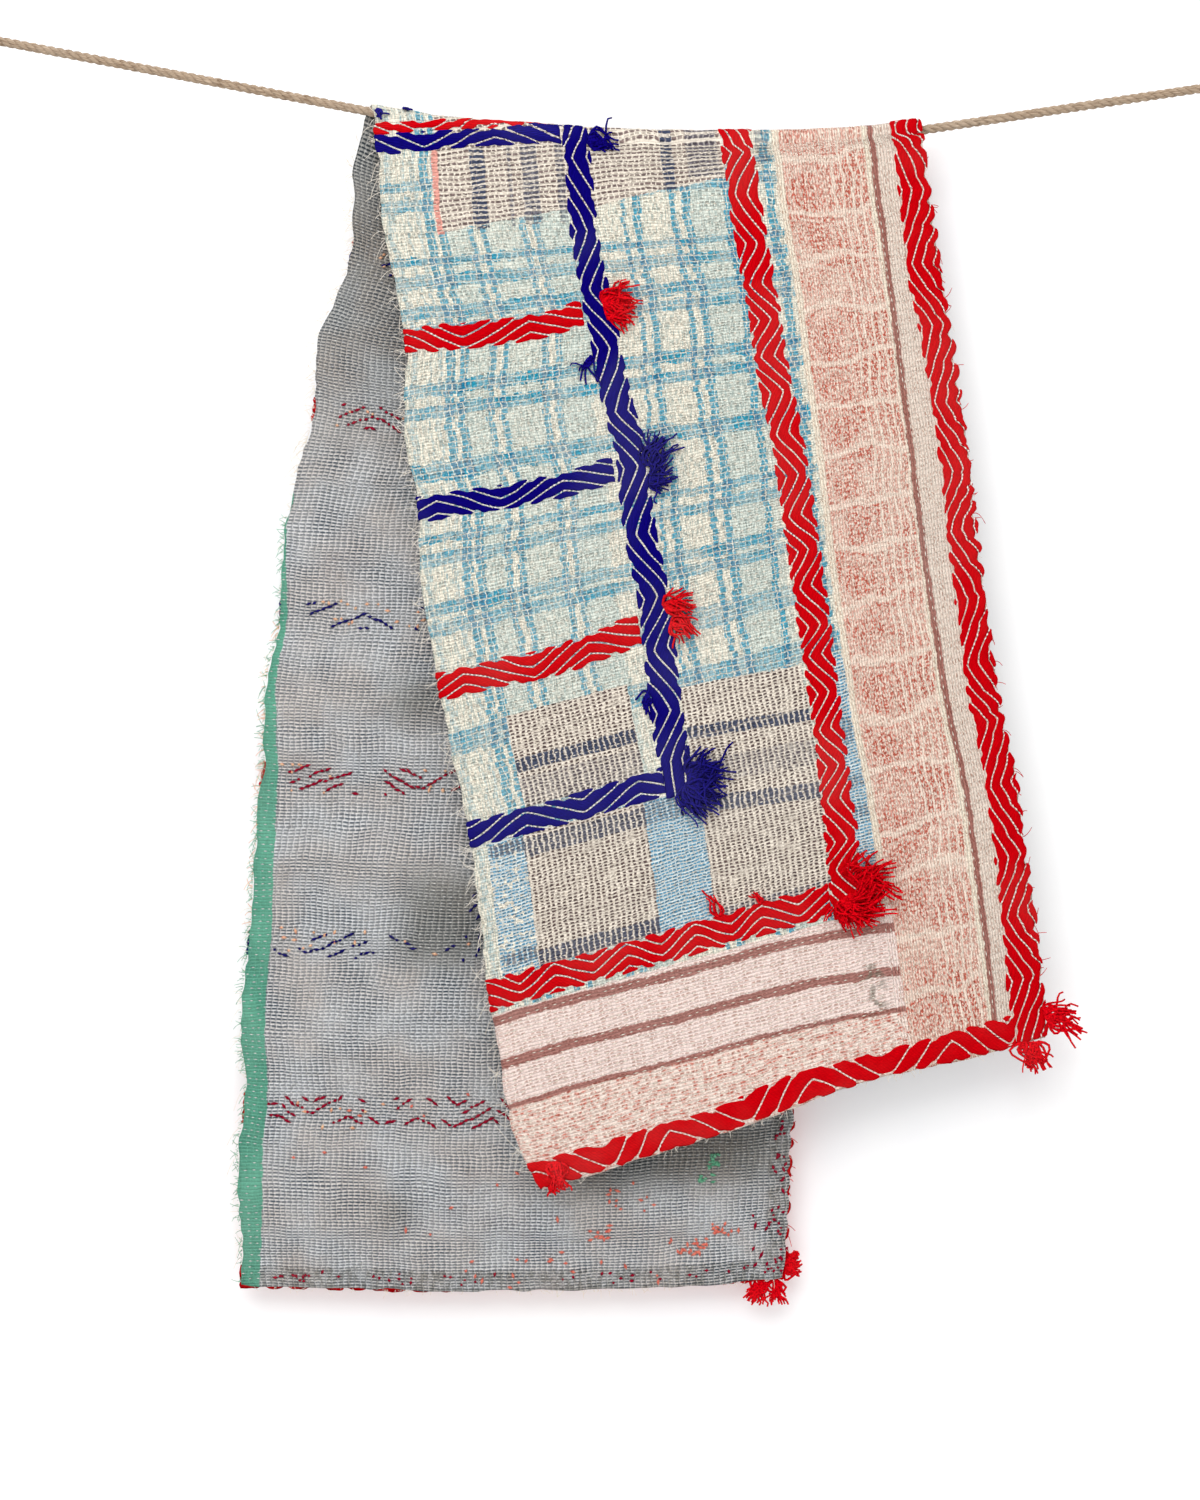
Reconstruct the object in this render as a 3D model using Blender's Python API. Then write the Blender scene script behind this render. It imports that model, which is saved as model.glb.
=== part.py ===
"""Kantha cloth folded over a rope line that is held between two wall pegs.

Metres, +Z up, +X along the line to the right, -Y towards the room. The origin is the centre of the
left peg's plate, where it meets the wall, and the wall itself is the plane Y = 0.

A place on the cloth is given by two lengths: across, from the raw cut edge to the hemmed edge, and
along, from the front hem up over the rope and down to the back hem.
"""
import math
from bisect import bisect_right
from collections import namedtuple

import bmesh
import bpy
from mathutils import Matrix, Vector

# Driving sizes
CLOTH_WIDTH = 0.555
CLOTH_THICKNESS = 0.003
ROPE_RADIUS = 0.0045
LINE_Y = -0.045                 # the rope's distance from the wall
SEAT_GAP = 0.0007               # between the rope and the cloth that rests on it
SIDE_GAP = 0.002                # between the rope's sides and the cloth's two flaps
TOUCH_GAP = 0.0004              # between other faces that meet
ROOM = Vector((0.0, -1.0, 0.0))

# The rope line: straight from each peg to the cloth, sagging under it
LEFT_PEG = Vector((0.0, LINE_Y, 0.0))
RIGHT_PEG = Vector((1.320, LINE_Y, -0.050))
SAG_LEFT = Vector((0.425, LINE_Y, -0.081))
SAG_RIGHT = Vector((0.985, LINE_Y, -0.100))
ROPE_STEP = 0.023               # distance between the points of the rope's route
ROPE_SIDES_RESOLUTION = 2

# The fold over the rope
FOLD_RADIUS = ROPE_RADIUS + SIDE_GAP + CLOTH_THICKNESS / 2
FOLD_RISE = ROPE_RADIUS + SEAT_GAP + CLOTH_THICKNESS / 2
FOLD_TOP = 1.071
FOLD_HALF = math.pi * FOLD_RADIUS / 2
FOLD_CALM = 0.12                # soft folds fade out within this distance of the rope
SLOPE_STEP = 0.004              # how far apart the points are that give the cloth's directions

# Mesh density of the cloth
CELLS_ACROSS = 18
CELLS_FRONT = 34
CELLS_FOLD = 6
CELLS_BACK = 38

# Sections of the cloth: where the two edges lie, the depth, and how much of the rope's sag shows
Section = namedtuple("Section", "along cut_x cut_z hem_x hem_z y bow")
FRONT_SECTIONS = (
    Section(0.000, 0.600, -1.162, 1.107, -1.009, -0.068, 0.00),
    Section(0.055, 0.574, -1.110, 1.102, -0.955, -0.067, 0.00),
    Section(0.100, 0.563, -1.061, 1.097, -0.910, -0.067, 0.00),
    Section(0.190, 0.548, -0.970, 1.085, -0.821, -0.066, 0.00),
    Section(0.270, 0.539, -0.891, 1.075, -0.746, -0.065, 0.00),
    Section(0.355, 0.528, -0.807, 1.058, -0.666, -0.064, 0.00),
    Section(0.430, 0.511, -0.732, 1.048, -0.590, -0.063, 0.00),
    Section(0.500, 0.498, -0.662, 1.039, -0.520, -0.062, 0.00),
    Section(0.590, 0.481, -0.569, 1.032, -0.451, -0.061, 0.00),
    Section(0.675, 0.477, -0.481, 1.023, -0.385, -0.060, 0.00),
    Section(0.740, 0.463, -0.415, 1.016, -0.332, -0.059, 0.00),
    Section(0.790, 0.462, -0.365, 1.010, -0.292, -0.058, 0.05),
    Section(0.840, 0.464, -0.314, 1.003, -0.251, -0.057, 0.15),
    Section(0.890, 0.454, -0.263, 0.998, -0.211, -0.056, 0.40),
    Section(0.960, 0.440, -0.191, 0.990, -0.155, -0.055, 0.80),
    Section(1.020, 0.436, -0.130, 0.985, -0.111, -0.054, 1.00),
)
BACK_SECTIONS = (
    Section(1.125, 0.409, -0.133, 0.975, -0.150, -0.0365, 1.00),
    Section(1.214, 0.406, -0.223, 0.964, -0.237, -0.0360, 0.85),
    Section(1.262, 0.389, -0.271, 0.958, -0.284, -0.0360, 0.70),
    Section(1.295, 0.373, -0.303, 0.954, -0.315, -0.0355, 0.60),
    Section(1.380, 0.368, -0.385, 0.943, -0.398, -0.0350, 0.50),
    Section(1.453, 0.348, -0.461, 0.934, -0.470, -0.0345, 0.40),
    Section(1.502, 0.339, -0.510, 0.928, -0.518, -0.0340, 0.35),
    Section(1.580, 0.334, -0.588, 0.918, -0.595, -0.0335, 0.30),
    Section(1.647, 0.321, -0.655, 0.910, -0.661, -0.0330, 0.30),
    Section(1.745, 0.317, -0.753, 0.898, -0.758, -0.0325, 0.30),
    Section(1.830, 0.308, -0.839, 0.888, -0.843, -0.0320, 0.30),
    Section(1.910, 0.302, -0.918, 0.877, -0.921, -0.0315, 0.30),
    Section(1.990, 0.296, -0.999, 0.867, -1.001, -0.0310, 0.30),
    Section(2.058, 0.299, -1.066, 0.859, -1.068, -0.0305, 0.35),
    Section(2.110, 0.294, -1.118, 0.854, -1.119, -0.0300, 0.40),
    Section(2.190, 0.294, -1.201, 0.851, -1.193, -0.0300, 0.45),
    Section(2.262, 0.296, -1.266, 0.847, -1.259, -0.0300, 0.50),
)
CLOTH_LENGTH = BACK_SECTIONS[-1].along
FOLD_EDGES = {"front": (0.432, 0.982), "back": (0.423, 0.982)}    # x of the cut and hemmed edges

# Soft folds: a swelling towards the room (or a hollow, below zero), fading over its two lengths
SoftFold = namedtuple("SoftFold", "across along wide long rise")
SOFT_FOLDS = (
    SoftFold(0.10, 0.90, 0.06, 0.10, 0.003),
    SoftFold(0.29, 0.76, 0.06, 0.18, -0.003),
    SoftFold(0.45, 0.62, 0.05, 0.24, 0.004),
    SoftFold(0.04, 0.59, 0.05, 0.08, 0.004),
    SoftFold(0.15, 0.43, 0.07, 0.10, -0.003),
    SoftFold(0.29, 0.27, 0.08, 0.10, 0.004),
    SoftFold(0.50, 0.18, 0.06, 0.12, 0.005),
    SoftFold(0.02, 0.26, 0.05, 0.07, 0.005),
    SoftFold(0.00, 0.11, 0.05, 0.05, 0.006),
    SoftFold(0.14, 0.03, 0.06, 0.07, -0.004),
    SoftFold(0.33, 0.01, 0.08, 0.06, 0.004),
    SoftFold(0.03, 1.30, 0.05, 0.07, 0.004),
    SoftFold(0.10, 1.48, 0.05, 0.10, -0.003),
    SoftFold(0.05, 1.66, 0.05, 0.07, 0.004),
    SoftFold(0.15, 1.83, 0.09, 0.05, 0.006),
    SoftFold(0.17, 1.93, 0.08, 0.03, -0.004),
    SoftFold(0.06, 2.02, 0.06, 0.06, 0.004),
    SoftFold(0.30, 2.12, 0.08, 0.08, 0.005),
    SoftFold(0.48, 2.16, 0.06, 0.10, -0.004),
    SoftFold(0.13, 2.18, 0.07, 0.06, -0.004),
)

# Wool tufts on the front: half sizes across, along and out of the cloth
Tuft = namedtuple("Tuft", "name across along half_across half_along half_out wool")
TUFTS = (
    Tuft("tuft_red_upper", 0.219, 0.853, 0.015, 0.018, 0.006, "wool_red"),
    Tuft("tuft_navy_middle", 0.238, 0.678, 0.011, 0.027, 0.004, "wool_navy"),
    Tuft("tuft_red_lower", 0.248, 0.511, 0.015, 0.020, 0.006, "wool_red"),
    Tuft("tuft_navy_corner", 0.2325, 0.345, 0.026, 0.033, 0.007, "wool_navy"),
    Tuft("tuft_red_corner", 0.3885, 0.182, 0.033, 0.030, 0.010, "wool_red"),
    Tuft("tuft_navy_fold", 0.236, 1.046, 0.010, 0.006, 0.003, "wool_navy"),
)
TUFT_SEGMENTS = 12
TUFT_RINGS = 7

# Tassels that stand out of an edge of the cloth, like short brushes
Tassel = namedtuple("Tassel", "name across along edge root_half tip_half length")
TASSELS = (
    Tassel("tassel_front_side", CLOTH_WIDTH, 0.018, "hemmed", 0.011, 0.019, 0.026),
    Tassel("tassel_front_hem", 0.534, 0.0, "front", 0.010, 0.014, 0.026),
    Tassel("tassel_front_cut", 0.012, 0.0, "front", 0.005, 0.006, 0.010),
    Tassel("tassel_back_side", CLOTH_WIDTH, 2.246, "hemmed", 0.007, 0.012, 0.017),
    Tassel("tassel_back_hem", 0.540, CLOTH_LENGTH, "back", 0.009, 0.013, 0.024),
)
TASSEL_THICKNESS = 0.005
TASSEL_SIDES = 8
TASSEL_STATIONS = ((0.0, 0.0), (0.35, 0.6), (0.8, 1.0), (1.0, 0.8))    # share of length, of the flare

# Wall pegs, turned: radius and distance from the wall, from the plate to the head
PEG_STEM_RADIUS = 0.0040
PEG_PROFILE = (
    (0.0180, 0.0000), (0.0180, 0.0030), (0.0165, 0.0045), (0.0065, 0.0050), (PEG_STEM_RADIUS, 0.0075),
    (PEG_STEM_RADIUS, 0.0530), (0.0075, 0.0550), (0.0088, 0.0580), (0.0075, 0.0610), (0.0040, 0.0625),
)
PEG_SEGMENTS = 24
PEG_SHARP_ANGLE = math.radians(40)

# Rope ends: a bight round the peg, gripped by a whipped collar
LOOP_RADIUS = PEG_STEM_RADIUS + TOUCH_GAP + ROPE_RADIUS
STRAND_HALF = ROPE_RADIUS + 0.0003    # from the collar's axis to each of the bight's two strands
BIGHT_OPENING = math.radians(69)      # where the strands leave the peg, from the rope's direction
COLLAR_START = 0.026            # distances from the peg's axis along the rope
COLLAR_END = 0.044
COLLAR_RADIUS = 0.0105
COLLAR_SEGMENTS = 16
LOOP_SIDES = 8
LOOP_STEPS = 12

COLOURS = {
    "cloth": ((0.72, 0.74, 0.70, 1.0), 0.95),
    "wool_red": ((0.70, 0.01, 0.01, 1.0), 0.95),
    "wool_navy": ((0.01, 0.005, 0.20, 1.0), 0.95),
    "jute": ((0.50, 0.40, 0.28, 1.0), 0.90),
    "peg_iron": ((0.06, 0.06, 0.06, 1.0), 0.55),
}


def clear_scene():
    for thing in list(bpy.data.objects):
        bpy.data.objects.remove(thing, do_unlink=True)


def material(name):
    """The plain finish of one kind of piece, made once."""
    if name in bpy.data.materials:
        return bpy.data.materials[name]
    made = bpy.data.materials.new(name)
    made.use_nodes = True
    colour, roughness = COLOURS[name]
    shader = made.node_tree.nodes["Principled BSDF"]
    shader.inputs["Base Color"].default_value = colour
    shader.inputs["Roughness"].default_value = roughness
    shader.inputs["Metallic"].default_value = 1.0 if name == "peg_iron" else 0.0
    made.diffuse_color = colour
    return made


def add_object(name, mesh, finish):
    thing = bpy.data.objects.new(name, mesh)
    bpy.context.scene.collection.objects.link(thing)
    thing.data.materials.append(material(finish))
    return thing


def mesh_from(name, build):
    """A mesh filled by build, with its faces turned outwards."""
    shape = bmesh.new()
    build(shape)
    bmesh.ops.recalc_face_normals(shape, faces=shape.faces[:])
    mesh = bpy.data.meshes.new(name)
    shape.to_mesh(mesh)
    shape.free()
    return mesh


def mix(low, high, share):
    return low + (high - low) * share


def smooth_step(value):
    value = min(max(value, 0.0), 1.0)
    return value * value * (3.0 - 2.0 * value)


# The rope's height, and the cloth that follows it

def hermite(share, start, end, start_slope, end_slope):
    """A cubic from start to end; the slopes are already multiplied by the span."""
    square = share * share
    cube = square * share
    return ((2 * cube - 3 * square + 1) * start + (cube - 2 * square + share) * start_slope
            + (3 * square - 2 * cube) * end + (cube - square) * end_slope)


def rope_z(x):
    """Height of the rope's centre line at x."""
    left_slope = (SAG_LEFT.z - LEFT_PEG.z) / (SAG_LEFT.x - LEFT_PEG.x)
    right_slope = (RIGHT_PEG.z - SAG_RIGHT.z) / (RIGHT_PEG.x - SAG_RIGHT.x)
    if x <= SAG_LEFT.x:
        return LEFT_PEG.z + left_slope * (x - LEFT_PEG.x)
    if x >= SAG_RIGHT.x:
        return RIGHT_PEG.z + right_slope * (x - RIGHT_PEG.x)
    span = SAG_RIGHT.x - SAG_LEFT.x
    share = (x - SAG_LEFT.x) / span
    return hermite(share, SAG_LEFT.z, SAG_RIGHT.z, left_slope * span, right_slope * span)


def fold_section(along, side, y):
    """The section where a flap leaves the fold, level with the fold's centre."""
    cut_x, hem_x = FOLD_EDGES[side]
    drop = FOLD_RISE - FOLD_RADIUS
    return Section(along, cut_x, rope_z(cut_x) + drop, hem_x, rope_z(hem_x) + drop, y, 1.0)


FRONT = FRONT_SECTIONS + (fold_section(FOLD_TOP - FOLD_HALF, "front", LINE_Y - FOLD_RADIUS),)
BACK = (fold_section(FOLD_TOP + FOLD_HALF, "back", LINE_Y + FOLD_RADIUS),) + BACK_SECTIONS


def slope_at(sections, index, column):
    before = sections[max(index - 1, 0)]
    after = sections[min(index + 1, len(sections) - 1)]
    return (after[column] - before[column]) / (after.along - before.along)


def section_at(sections, along):
    """The section at any place along, on a smooth curve through the stated ones."""
    index = bisect_right([section.along for section in sections], along) - 1
    index = min(max(index, 0), len(sections) - 2)
    low, high = sections[index], sections[index + 1]
    span = high.along - low.along
    share = (along - low.along) / span
    columns = [hermite(share, low[column], high[column], slope_at(sections, index, column) * span,
                       slope_at(sections, index + 1, column) * span)
               for column in range(1, len(low))]
    return Section(along, *columns)


def swelling(across, along):
    """How far the soft folds bring the cloth towards the room."""
    rise = sum(fold.rise * math.exp(-((across - fold.across) / fold.wide) ** 2
                                    - ((along - fold.along) / fold.long) ** 2)
               for fold in SOFT_FOLDS)
    return rise * smooth_step(abs(along - FOLD_TOP) / FOLD_CALM)


def cloth_point(across, along):
    """A point of the cloth's middle surface."""
    share = across / CLOTH_WIDTH
    turn = (along - FOLD_TOP) / FOLD_HALF
    if abs(turn) < 1.0:
        front_x = mix(*FOLD_EDGES["front"], share)
        back_x = mix(*FOLD_EDGES["back"], share)
        x = mix(front_x, back_x, (turn + 1.0) / 2.0)
        angle = turn * math.pi / 2
        return Vector((x, LINE_Y + FOLD_RADIUS * math.sin(angle),
                       rope_z(x) + FOLD_RISE - FOLD_RADIUS * (1.0 - math.cos(angle))))
    section = section_at(FRONT if turn < 0.0 else BACK, along)
    x = mix(section.cut_x, section.hem_x, share)
    sag = rope_z(x) - mix(rope_z(section.cut_x), rope_z(section.hem_x), share)
    z = mix(section.cut_z, section.hem_z, share) + section.bow * sag
    return Vector((x, section.y - swelling(across, along), z))


def cloth_frame(across, along):
    """The surface point there, with its directions across, along and out of the decorated side."""
    low_across, high_across = max(across - SLOPE_STEP, 0.0), min(across + SLOPE_STEP, CLOTH_WIDTH)
    low_along, high_along = max(along - SLOPE_STEP, 0.0), min(along + SLOPE_STEP, CLOTH_LENGTH)
    over = (cloth_point(high_across, along) - cloth_point(low_across, along)).normalized()
    up = (cloth_point(across, high_along) - cloth_point(across, low_along)).normalized()
    out = over.cross(up).normalized()
    return cloth_point(across, along), over, up, out


def along_stations():
    """Places along the cloth where the mesh has a row of points."""
    front_end, back_start = FOLD_TOP - FOLD_HALF, FOLD_TOP + FOLD_HALF
    front = [front_end * row / CELLS_FRONT for row in range(CELLS_FRONT)]
    fold = [mix(front_end, back_start, row / CELLS_FOLD) for row in range(CELLS_FOLD)]
    back = [mix(back_start, CLOTH_LENGTH, row / CELLS_BACK) for row in range(CELLS_BACK + 1)]
    return front + fold + back


def make_cloth():
    """The quilted cloth: one sheet over the rope, made solid by its thickness."""
    def build(shape):
        grid = [[shape.verts.new(cloth_point(CLOTH_WIDTH * column / CELLS_ACROSS, along))
                 for column in range(CELLS_ACROSS + 1)] for along in along_stations()]
        for row, next_row in zip(grid, grid[1:]):
            for column in range(CELLS_ACROSS):
                shape.faces.new((row[column], row[column + 1], next_row[column + 1], next_row[column]))

    cloth = add_object("kantha_cloth", mesh_from("kantha_cloth", build), "cloth")
    thicken = cloth.modifiers.new("thickness", "SOLIDIFY")
    thicken.thickness = CLOTH_THICKNESS
    thicken.offset = 0.0
    thicken.use_even_offset = True
    cloth.data.shade_smooth()


def place(mesh, origin, x_axis, y_axis, z_axis):
    """Stand a mesh, made at the origin, on the three given directions."""
    turn = Matrix((x_axis, y_axis, z_axis)).transposed().to_4x4()
    mesh.transform(Matrix.Translation(origin) @ turn)


def make_tuft(tuft):
    """A flattened ball of wool that rests on the decorated side."""
    def build(shape):
        bmesh.ops.create_uvsphere(shape, u_segments=TUFT_SEGMENTS, v_segments=TUFT_RINGS, radius=1.0)
        bmesh.ops.scale(shape, verts=shape.verts[:],
                        vec=(tuft.half_across, tuft.half_along, tuft.half_out))

    mesh = mesh_from(tuft.name, build)
    point, over, up, out = cloth_frame(tuft.across, tuft.along)
    lift = CLOTH_THICKNESS / 2 + TOUCH_GAP + tuft.half_out
    place(mesh, point + out * lift, over, out.cross(over), out)
    mesh.shade_smooth()
    add_object(tuft.name, mesh, tuft.wool)


def make_tassel(tassel):
    """A short brush of thread ends that stands out of the cloth's edge."""
    point, over, up, out = cloth_frame(tassel.across, tassel.along)
    edge = {"hemmed": up, "front": over, "back": -over}[tassel.edge]
    away = edge.cross(out).normalized()
    root = point + away * TOUCH_GAP

    def build(shape):
        rings = []
        for distance, flare in TASSEL_STATIONS:
            half = mix(tassel.root_half, tassel.tip_half, flare)
            angles = [2 * math.pi * (side + 0.5) / TASSEL_SIDES for side in range(TASSEL_SIDES)]
            rings.append([shape.verts.new(root + away * distance * tassel.length
                                          + edge * half * math.cos(angle)
                                          + out * TASSEL_THICKNESS / 2 * math.sin(angle))
                          for angle in angles])
        for ring, next_ring in zip(rings, rings[1:]):
            for side in range(TASSEL_SIDES):
                other = (side + 1) % TASSEL_SIDES
                shape.faces.new((ring[side], ring[other], next_ring[other], next_ring[side]))
        shape.faces.new(rings[0])
        shape.faces.new(rings[-1])

    add_object(tassel.name, mesh_from(tassel.name, build), "wool_red")


def line_direction(peg):
    """From a peg along the rope, towards the cloth."""
    target = SAG_LEFT if peg is LEFT_PEG else SAG_RIGHT
    return (target - peg).normalized()


def make_rope():
    """The rope line between the two collars, as a tube on its centre line."""
    left = LEFT_PEG + line_direction(LEFT_PEG) * (COLLAR_END + TOUCH_GAP)
    right = RIGHT_PEG + line_direction(RIGHT_PEG) * (COLLAR_END + TOUCH_GAP)
    steps = round((right.x - left.x) / ROPE_STEP)
    curve = bpy.data.curves.new("rope_line", "CURVE")
    curve.dimensions = "3D"
    curve.bevel_depth = ROPE_RADIUS
    curve.bevel_resolution = ROPE_SIDES_RESOLUTION
    curve.use_fill_caps = True
    spline = curve.splines.new("POLY")
    spline.points.add(steps)
    for index, point in enumerate(spline.points):
        x = mix(left.x, right.x, index / steps)
        point.co = (x, LINE_Y, rope_z(x), 1.0)
    add_object("rope_line", curve, "jute")


def add_tube(shape, points, radius, sides, normal):
    """A capped tube along points that all lie in the plane of the given normal."""
    rings = []
    for index, point in enumerate(points):
        ahead = points[min(index + 1, len(points) - 1)] - points[max(index - 1, 0)]
        side = ahead.normalized().cross(normal)
        rings.append([shape.verts.new(point + radius * (side * math.cos(2 * math.pi * turn / sides)
                                                        + normal * math.sin(2 * math.pi * turn / sides)))
                      for turn in range(sides)])
    for ring, next_ring in zip(rings, rings[1:]):
        for turn in range(sides):
            other = (turn + 1) % sides
            shape.faces.new((ring[turn], ring[other], next_ring[other], next_ring[turn]))
    shape.faces.new(rings[0])
    shape.faces.new(rings[-1])


def bight_points(peg, away, upward):
    """Centre line of the rope's bight: in from the collar, round the peg, and back to it."""
    inside = (COLLAR_START + COLLAR_END) / 2
    first = [peg + away * distance + upward * STRAND_HALF for distance in (inside, COLLAR_START)]
    arc = []
    for step in range(LOOP_STEPS + 1):
        angle = mix(BIGHT_OPENING, 2 * math.pi - BIGHT_OPENING, step / LOOP_STEPS)
        arc.append(peg + LOOP_RADIUS * (away * math.cos(angle) + upward * math.sin(angle)))
    last = [peg + away * distance - upward * STRAND_HALF for distance in (COLLAR_START, inside)]
    return first + arc + last


def make_rope_end(name, peg):
    """The bight round a peg, joined to the collar that grips it."""
    away = line_direction(peg)
    upward = away.cross(ROOM)
    bight = add_object(name, mesh_from(name, lambda shape: add_tube(
        shape, bight_points(peg, away, upward), ROPE_RADIUS, LOOP_SIDES, ROOM)), "jute")
    collar_line = [peg + away * distance for distance in (COLLAR_START, COLLAR_END)]
    collar = add_object(name + "_collar", mesh_from(name + "_collar", lambda shape: add_tube(
        shape, collar_line, COLLAR_RADIUS, COLLAR_SEGMENTS, ROOM)), "jute")
    collar.hide_render = True
    collar.display_type = "WIRE"
    join = bight.modifiers.new("collar", "BOOLEAN")
    join.operation = "UNION"
    join.object = collar


def make_peg(name, peg):
    """A turned iron peg: wall plate, stem and a head that keeps the rope on."""
    def build(shape):
        rings = []
        for radius, distance in PEG_PROFILE:
            angles = [2 * math.pi * turn / PEG_SEGMENTS for turn in range(PEG_SEGMENTS)]
            rings.append([shape.verts.new((peg.x + radius * math.cos(angle), -distance,
                                           peg.z + radius * math.sin(angle))) for angle in angles])
        for ring, next_ring in zip(rings, rings[1:]):
            for turn in range(PEG_SEGMENTS):
                other = (turn + 1) % PEG_SEGMENTS
                shape.faces.new((ring[turn], ring[other], next_ring[other], next_ring[turn]))
        shape.faces.new(rings[0])
        shape.faces.new(rings[-1])

    mesh = mesh_from(name, build)
    mesh.shade_smooth()
    mesh.set_sharp_from_angle(angle=PEG_SHARP_ANGLE)
    add_object(name, mesh, "peg_iron")


def main():
    clear_scene()
    make_cloth()
    for tuft in TUFTS:
        make_tuft(tuft)
    for tassel in TASSELS:
        make_tassel(tassel)
    make_rope()
    for side, peg in (("left", LEFT_PEG), ("right", RIGHT_PEG)):
        make_rope_end("rope_end_" + side, peg)
        make_peg("wall_peg_" + side, peg)


main()
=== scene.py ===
# %% [markdown]
# # A kantha cloth on a rope line
#
# The real thing is half of an old quilt. Worn saris and shirtings were laid on each other, stitched
# together with thousands of running stitches, and framed with bands of laid wool. One long edge was
# cut, and the other edges have red wool borders. It hangs folded once over a jute rope between pegs.
#
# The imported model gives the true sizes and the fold. This lesson adds what the eye looks for: the
# patchwork, the stitches, the wool, the frayed threads and the twist of the rope.

import math
from collections import namedtuple

import bpy
import numpy as np
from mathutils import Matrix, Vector


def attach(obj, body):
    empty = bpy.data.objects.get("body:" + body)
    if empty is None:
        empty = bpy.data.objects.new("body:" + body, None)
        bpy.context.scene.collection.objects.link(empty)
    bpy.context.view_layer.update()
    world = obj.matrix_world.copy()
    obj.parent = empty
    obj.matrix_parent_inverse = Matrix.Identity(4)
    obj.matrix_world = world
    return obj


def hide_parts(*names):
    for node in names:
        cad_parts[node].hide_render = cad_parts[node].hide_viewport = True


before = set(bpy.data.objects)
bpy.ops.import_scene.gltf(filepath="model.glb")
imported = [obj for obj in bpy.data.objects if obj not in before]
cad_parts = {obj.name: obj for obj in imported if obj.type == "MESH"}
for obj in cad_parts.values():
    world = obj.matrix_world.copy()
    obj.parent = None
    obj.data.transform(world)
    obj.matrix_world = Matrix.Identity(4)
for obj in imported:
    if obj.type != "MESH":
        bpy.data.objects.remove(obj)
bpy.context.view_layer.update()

# %% [markdown]
# ## Sizes
#
# Everything is in metres, but tables are in millimetres, because they are easier to read. +X runs
# along the line to the right, +Z is up, and the wall is the plane Y = 0. The cloth's shape is stated
# as sections: where its cut edge and its hemmed edge lie, for a few places along it. The same table
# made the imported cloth, so the finished one fits it exactly.

# %% Sizes of the line and the cloth
TURN = 2 * math.pi
CLOTH_WIDTH, CLOTH_THICKNESS = 0.555, 0.003
ROPE_RADIUS, LINE_Y = 0.0045, -0.045
LEFT_PEG, RIGHT_PEG = np.array((0.0, LINE_Y, 0.0)), np.array((1.320, LINE_Y, -0.050))
SAG_LEFT, SAG_RIGHT = np.array((0.425, LINE_Y, -0.081)), np.array((0.985, LINE_Y, -0.100))
FOLD_RADIUS, FOLD_RISE, FOLD_TOP, FOLD_CALM = 0.008, 0.0067, 1.071, 0.12
FOLD_HALF = math.pi * FOLD_RADIUS / 2
FOLD_EDGES = {"front": (0.432, 0.982), "back": (0.423, 0.982)}    # x of the cut and hemmed edges

# along the cloth, x and z of the cut edge, x and z of the hemmed edge, y, thousandths of the sag
FRONT_SECTIONS = (
    (0, 600, -1162, 1107, -1009, -68, 0), (55, 574, -1110, 1102, -955, -67, 0),
    (100, 563, -1061, 1097, -910, -67, 0), (190, 548, -970, 1085, -821, -66, 0),
    (270, 539, -891, 1075, -746, -65, 0), (355, 528, -807, 1058, -666, -64, 0),
    (430, 511, -732, 1048, -590, -63, 0), (500, 498, -662, 1039, -520, -62, 0),
    (590, 481, -569, 1032, -451, -61, 0), (675, 477, -481, 1023, -385, -60, 0),
    (740, 463, -415, 1016, -332, -59, 0), (790, 462, -365, 1010, -292, -58, 50),
    (840, 464, -314, 1003, -251, -57, 150), (890, 454, -263, 998, -211, -56, 400),
    (960, 440, -191, 990, -155, -55, 800), (1020, 436, -130, 985, -111, -54, 1000),
)
BACK_SECTIONS = (
    (1125, 409, -133, 975, -150, -36.5, 1000), (1214, 406, -223, 964, -237, -36, 850),
    (1262, 389, -271, 958, -284, -36, 700), (1295, 373, -303, 954, -315, -35.5, 600),
    (1380, 368, -385, 943, -398, -35, 500), (1453, 348, -461, 934, -470, -34.5, 400),
    (1502, 339, -510, 928, -518, -34, 350), (1580, 334, -588, 918, -595, -33.5, 300),
    (1647, 321, -655, 910, -661, -33, 300), (1745, 317, -753, 898, -758, -32.5, 300),
    (1830, 308, -839, 888, -843, -32, 300), (1910, 302, -918, 877, -921, -31.5, 300),
    (1990, 296, -999, 867, -1001, -31, 300), (2058, 299, -1066, 859, -1068, -30.5, 350),
    (2110, 294, -1118, 854, -1119, -30, 400), (2190, 294, -1201, 851, -1193, -30, 450),
    (2262, 296, -1266, 847, -1259, -30, 500),
)
CLOTH_LENGTH = BACK_SECTIONS[-1][0] / 1000
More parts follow.
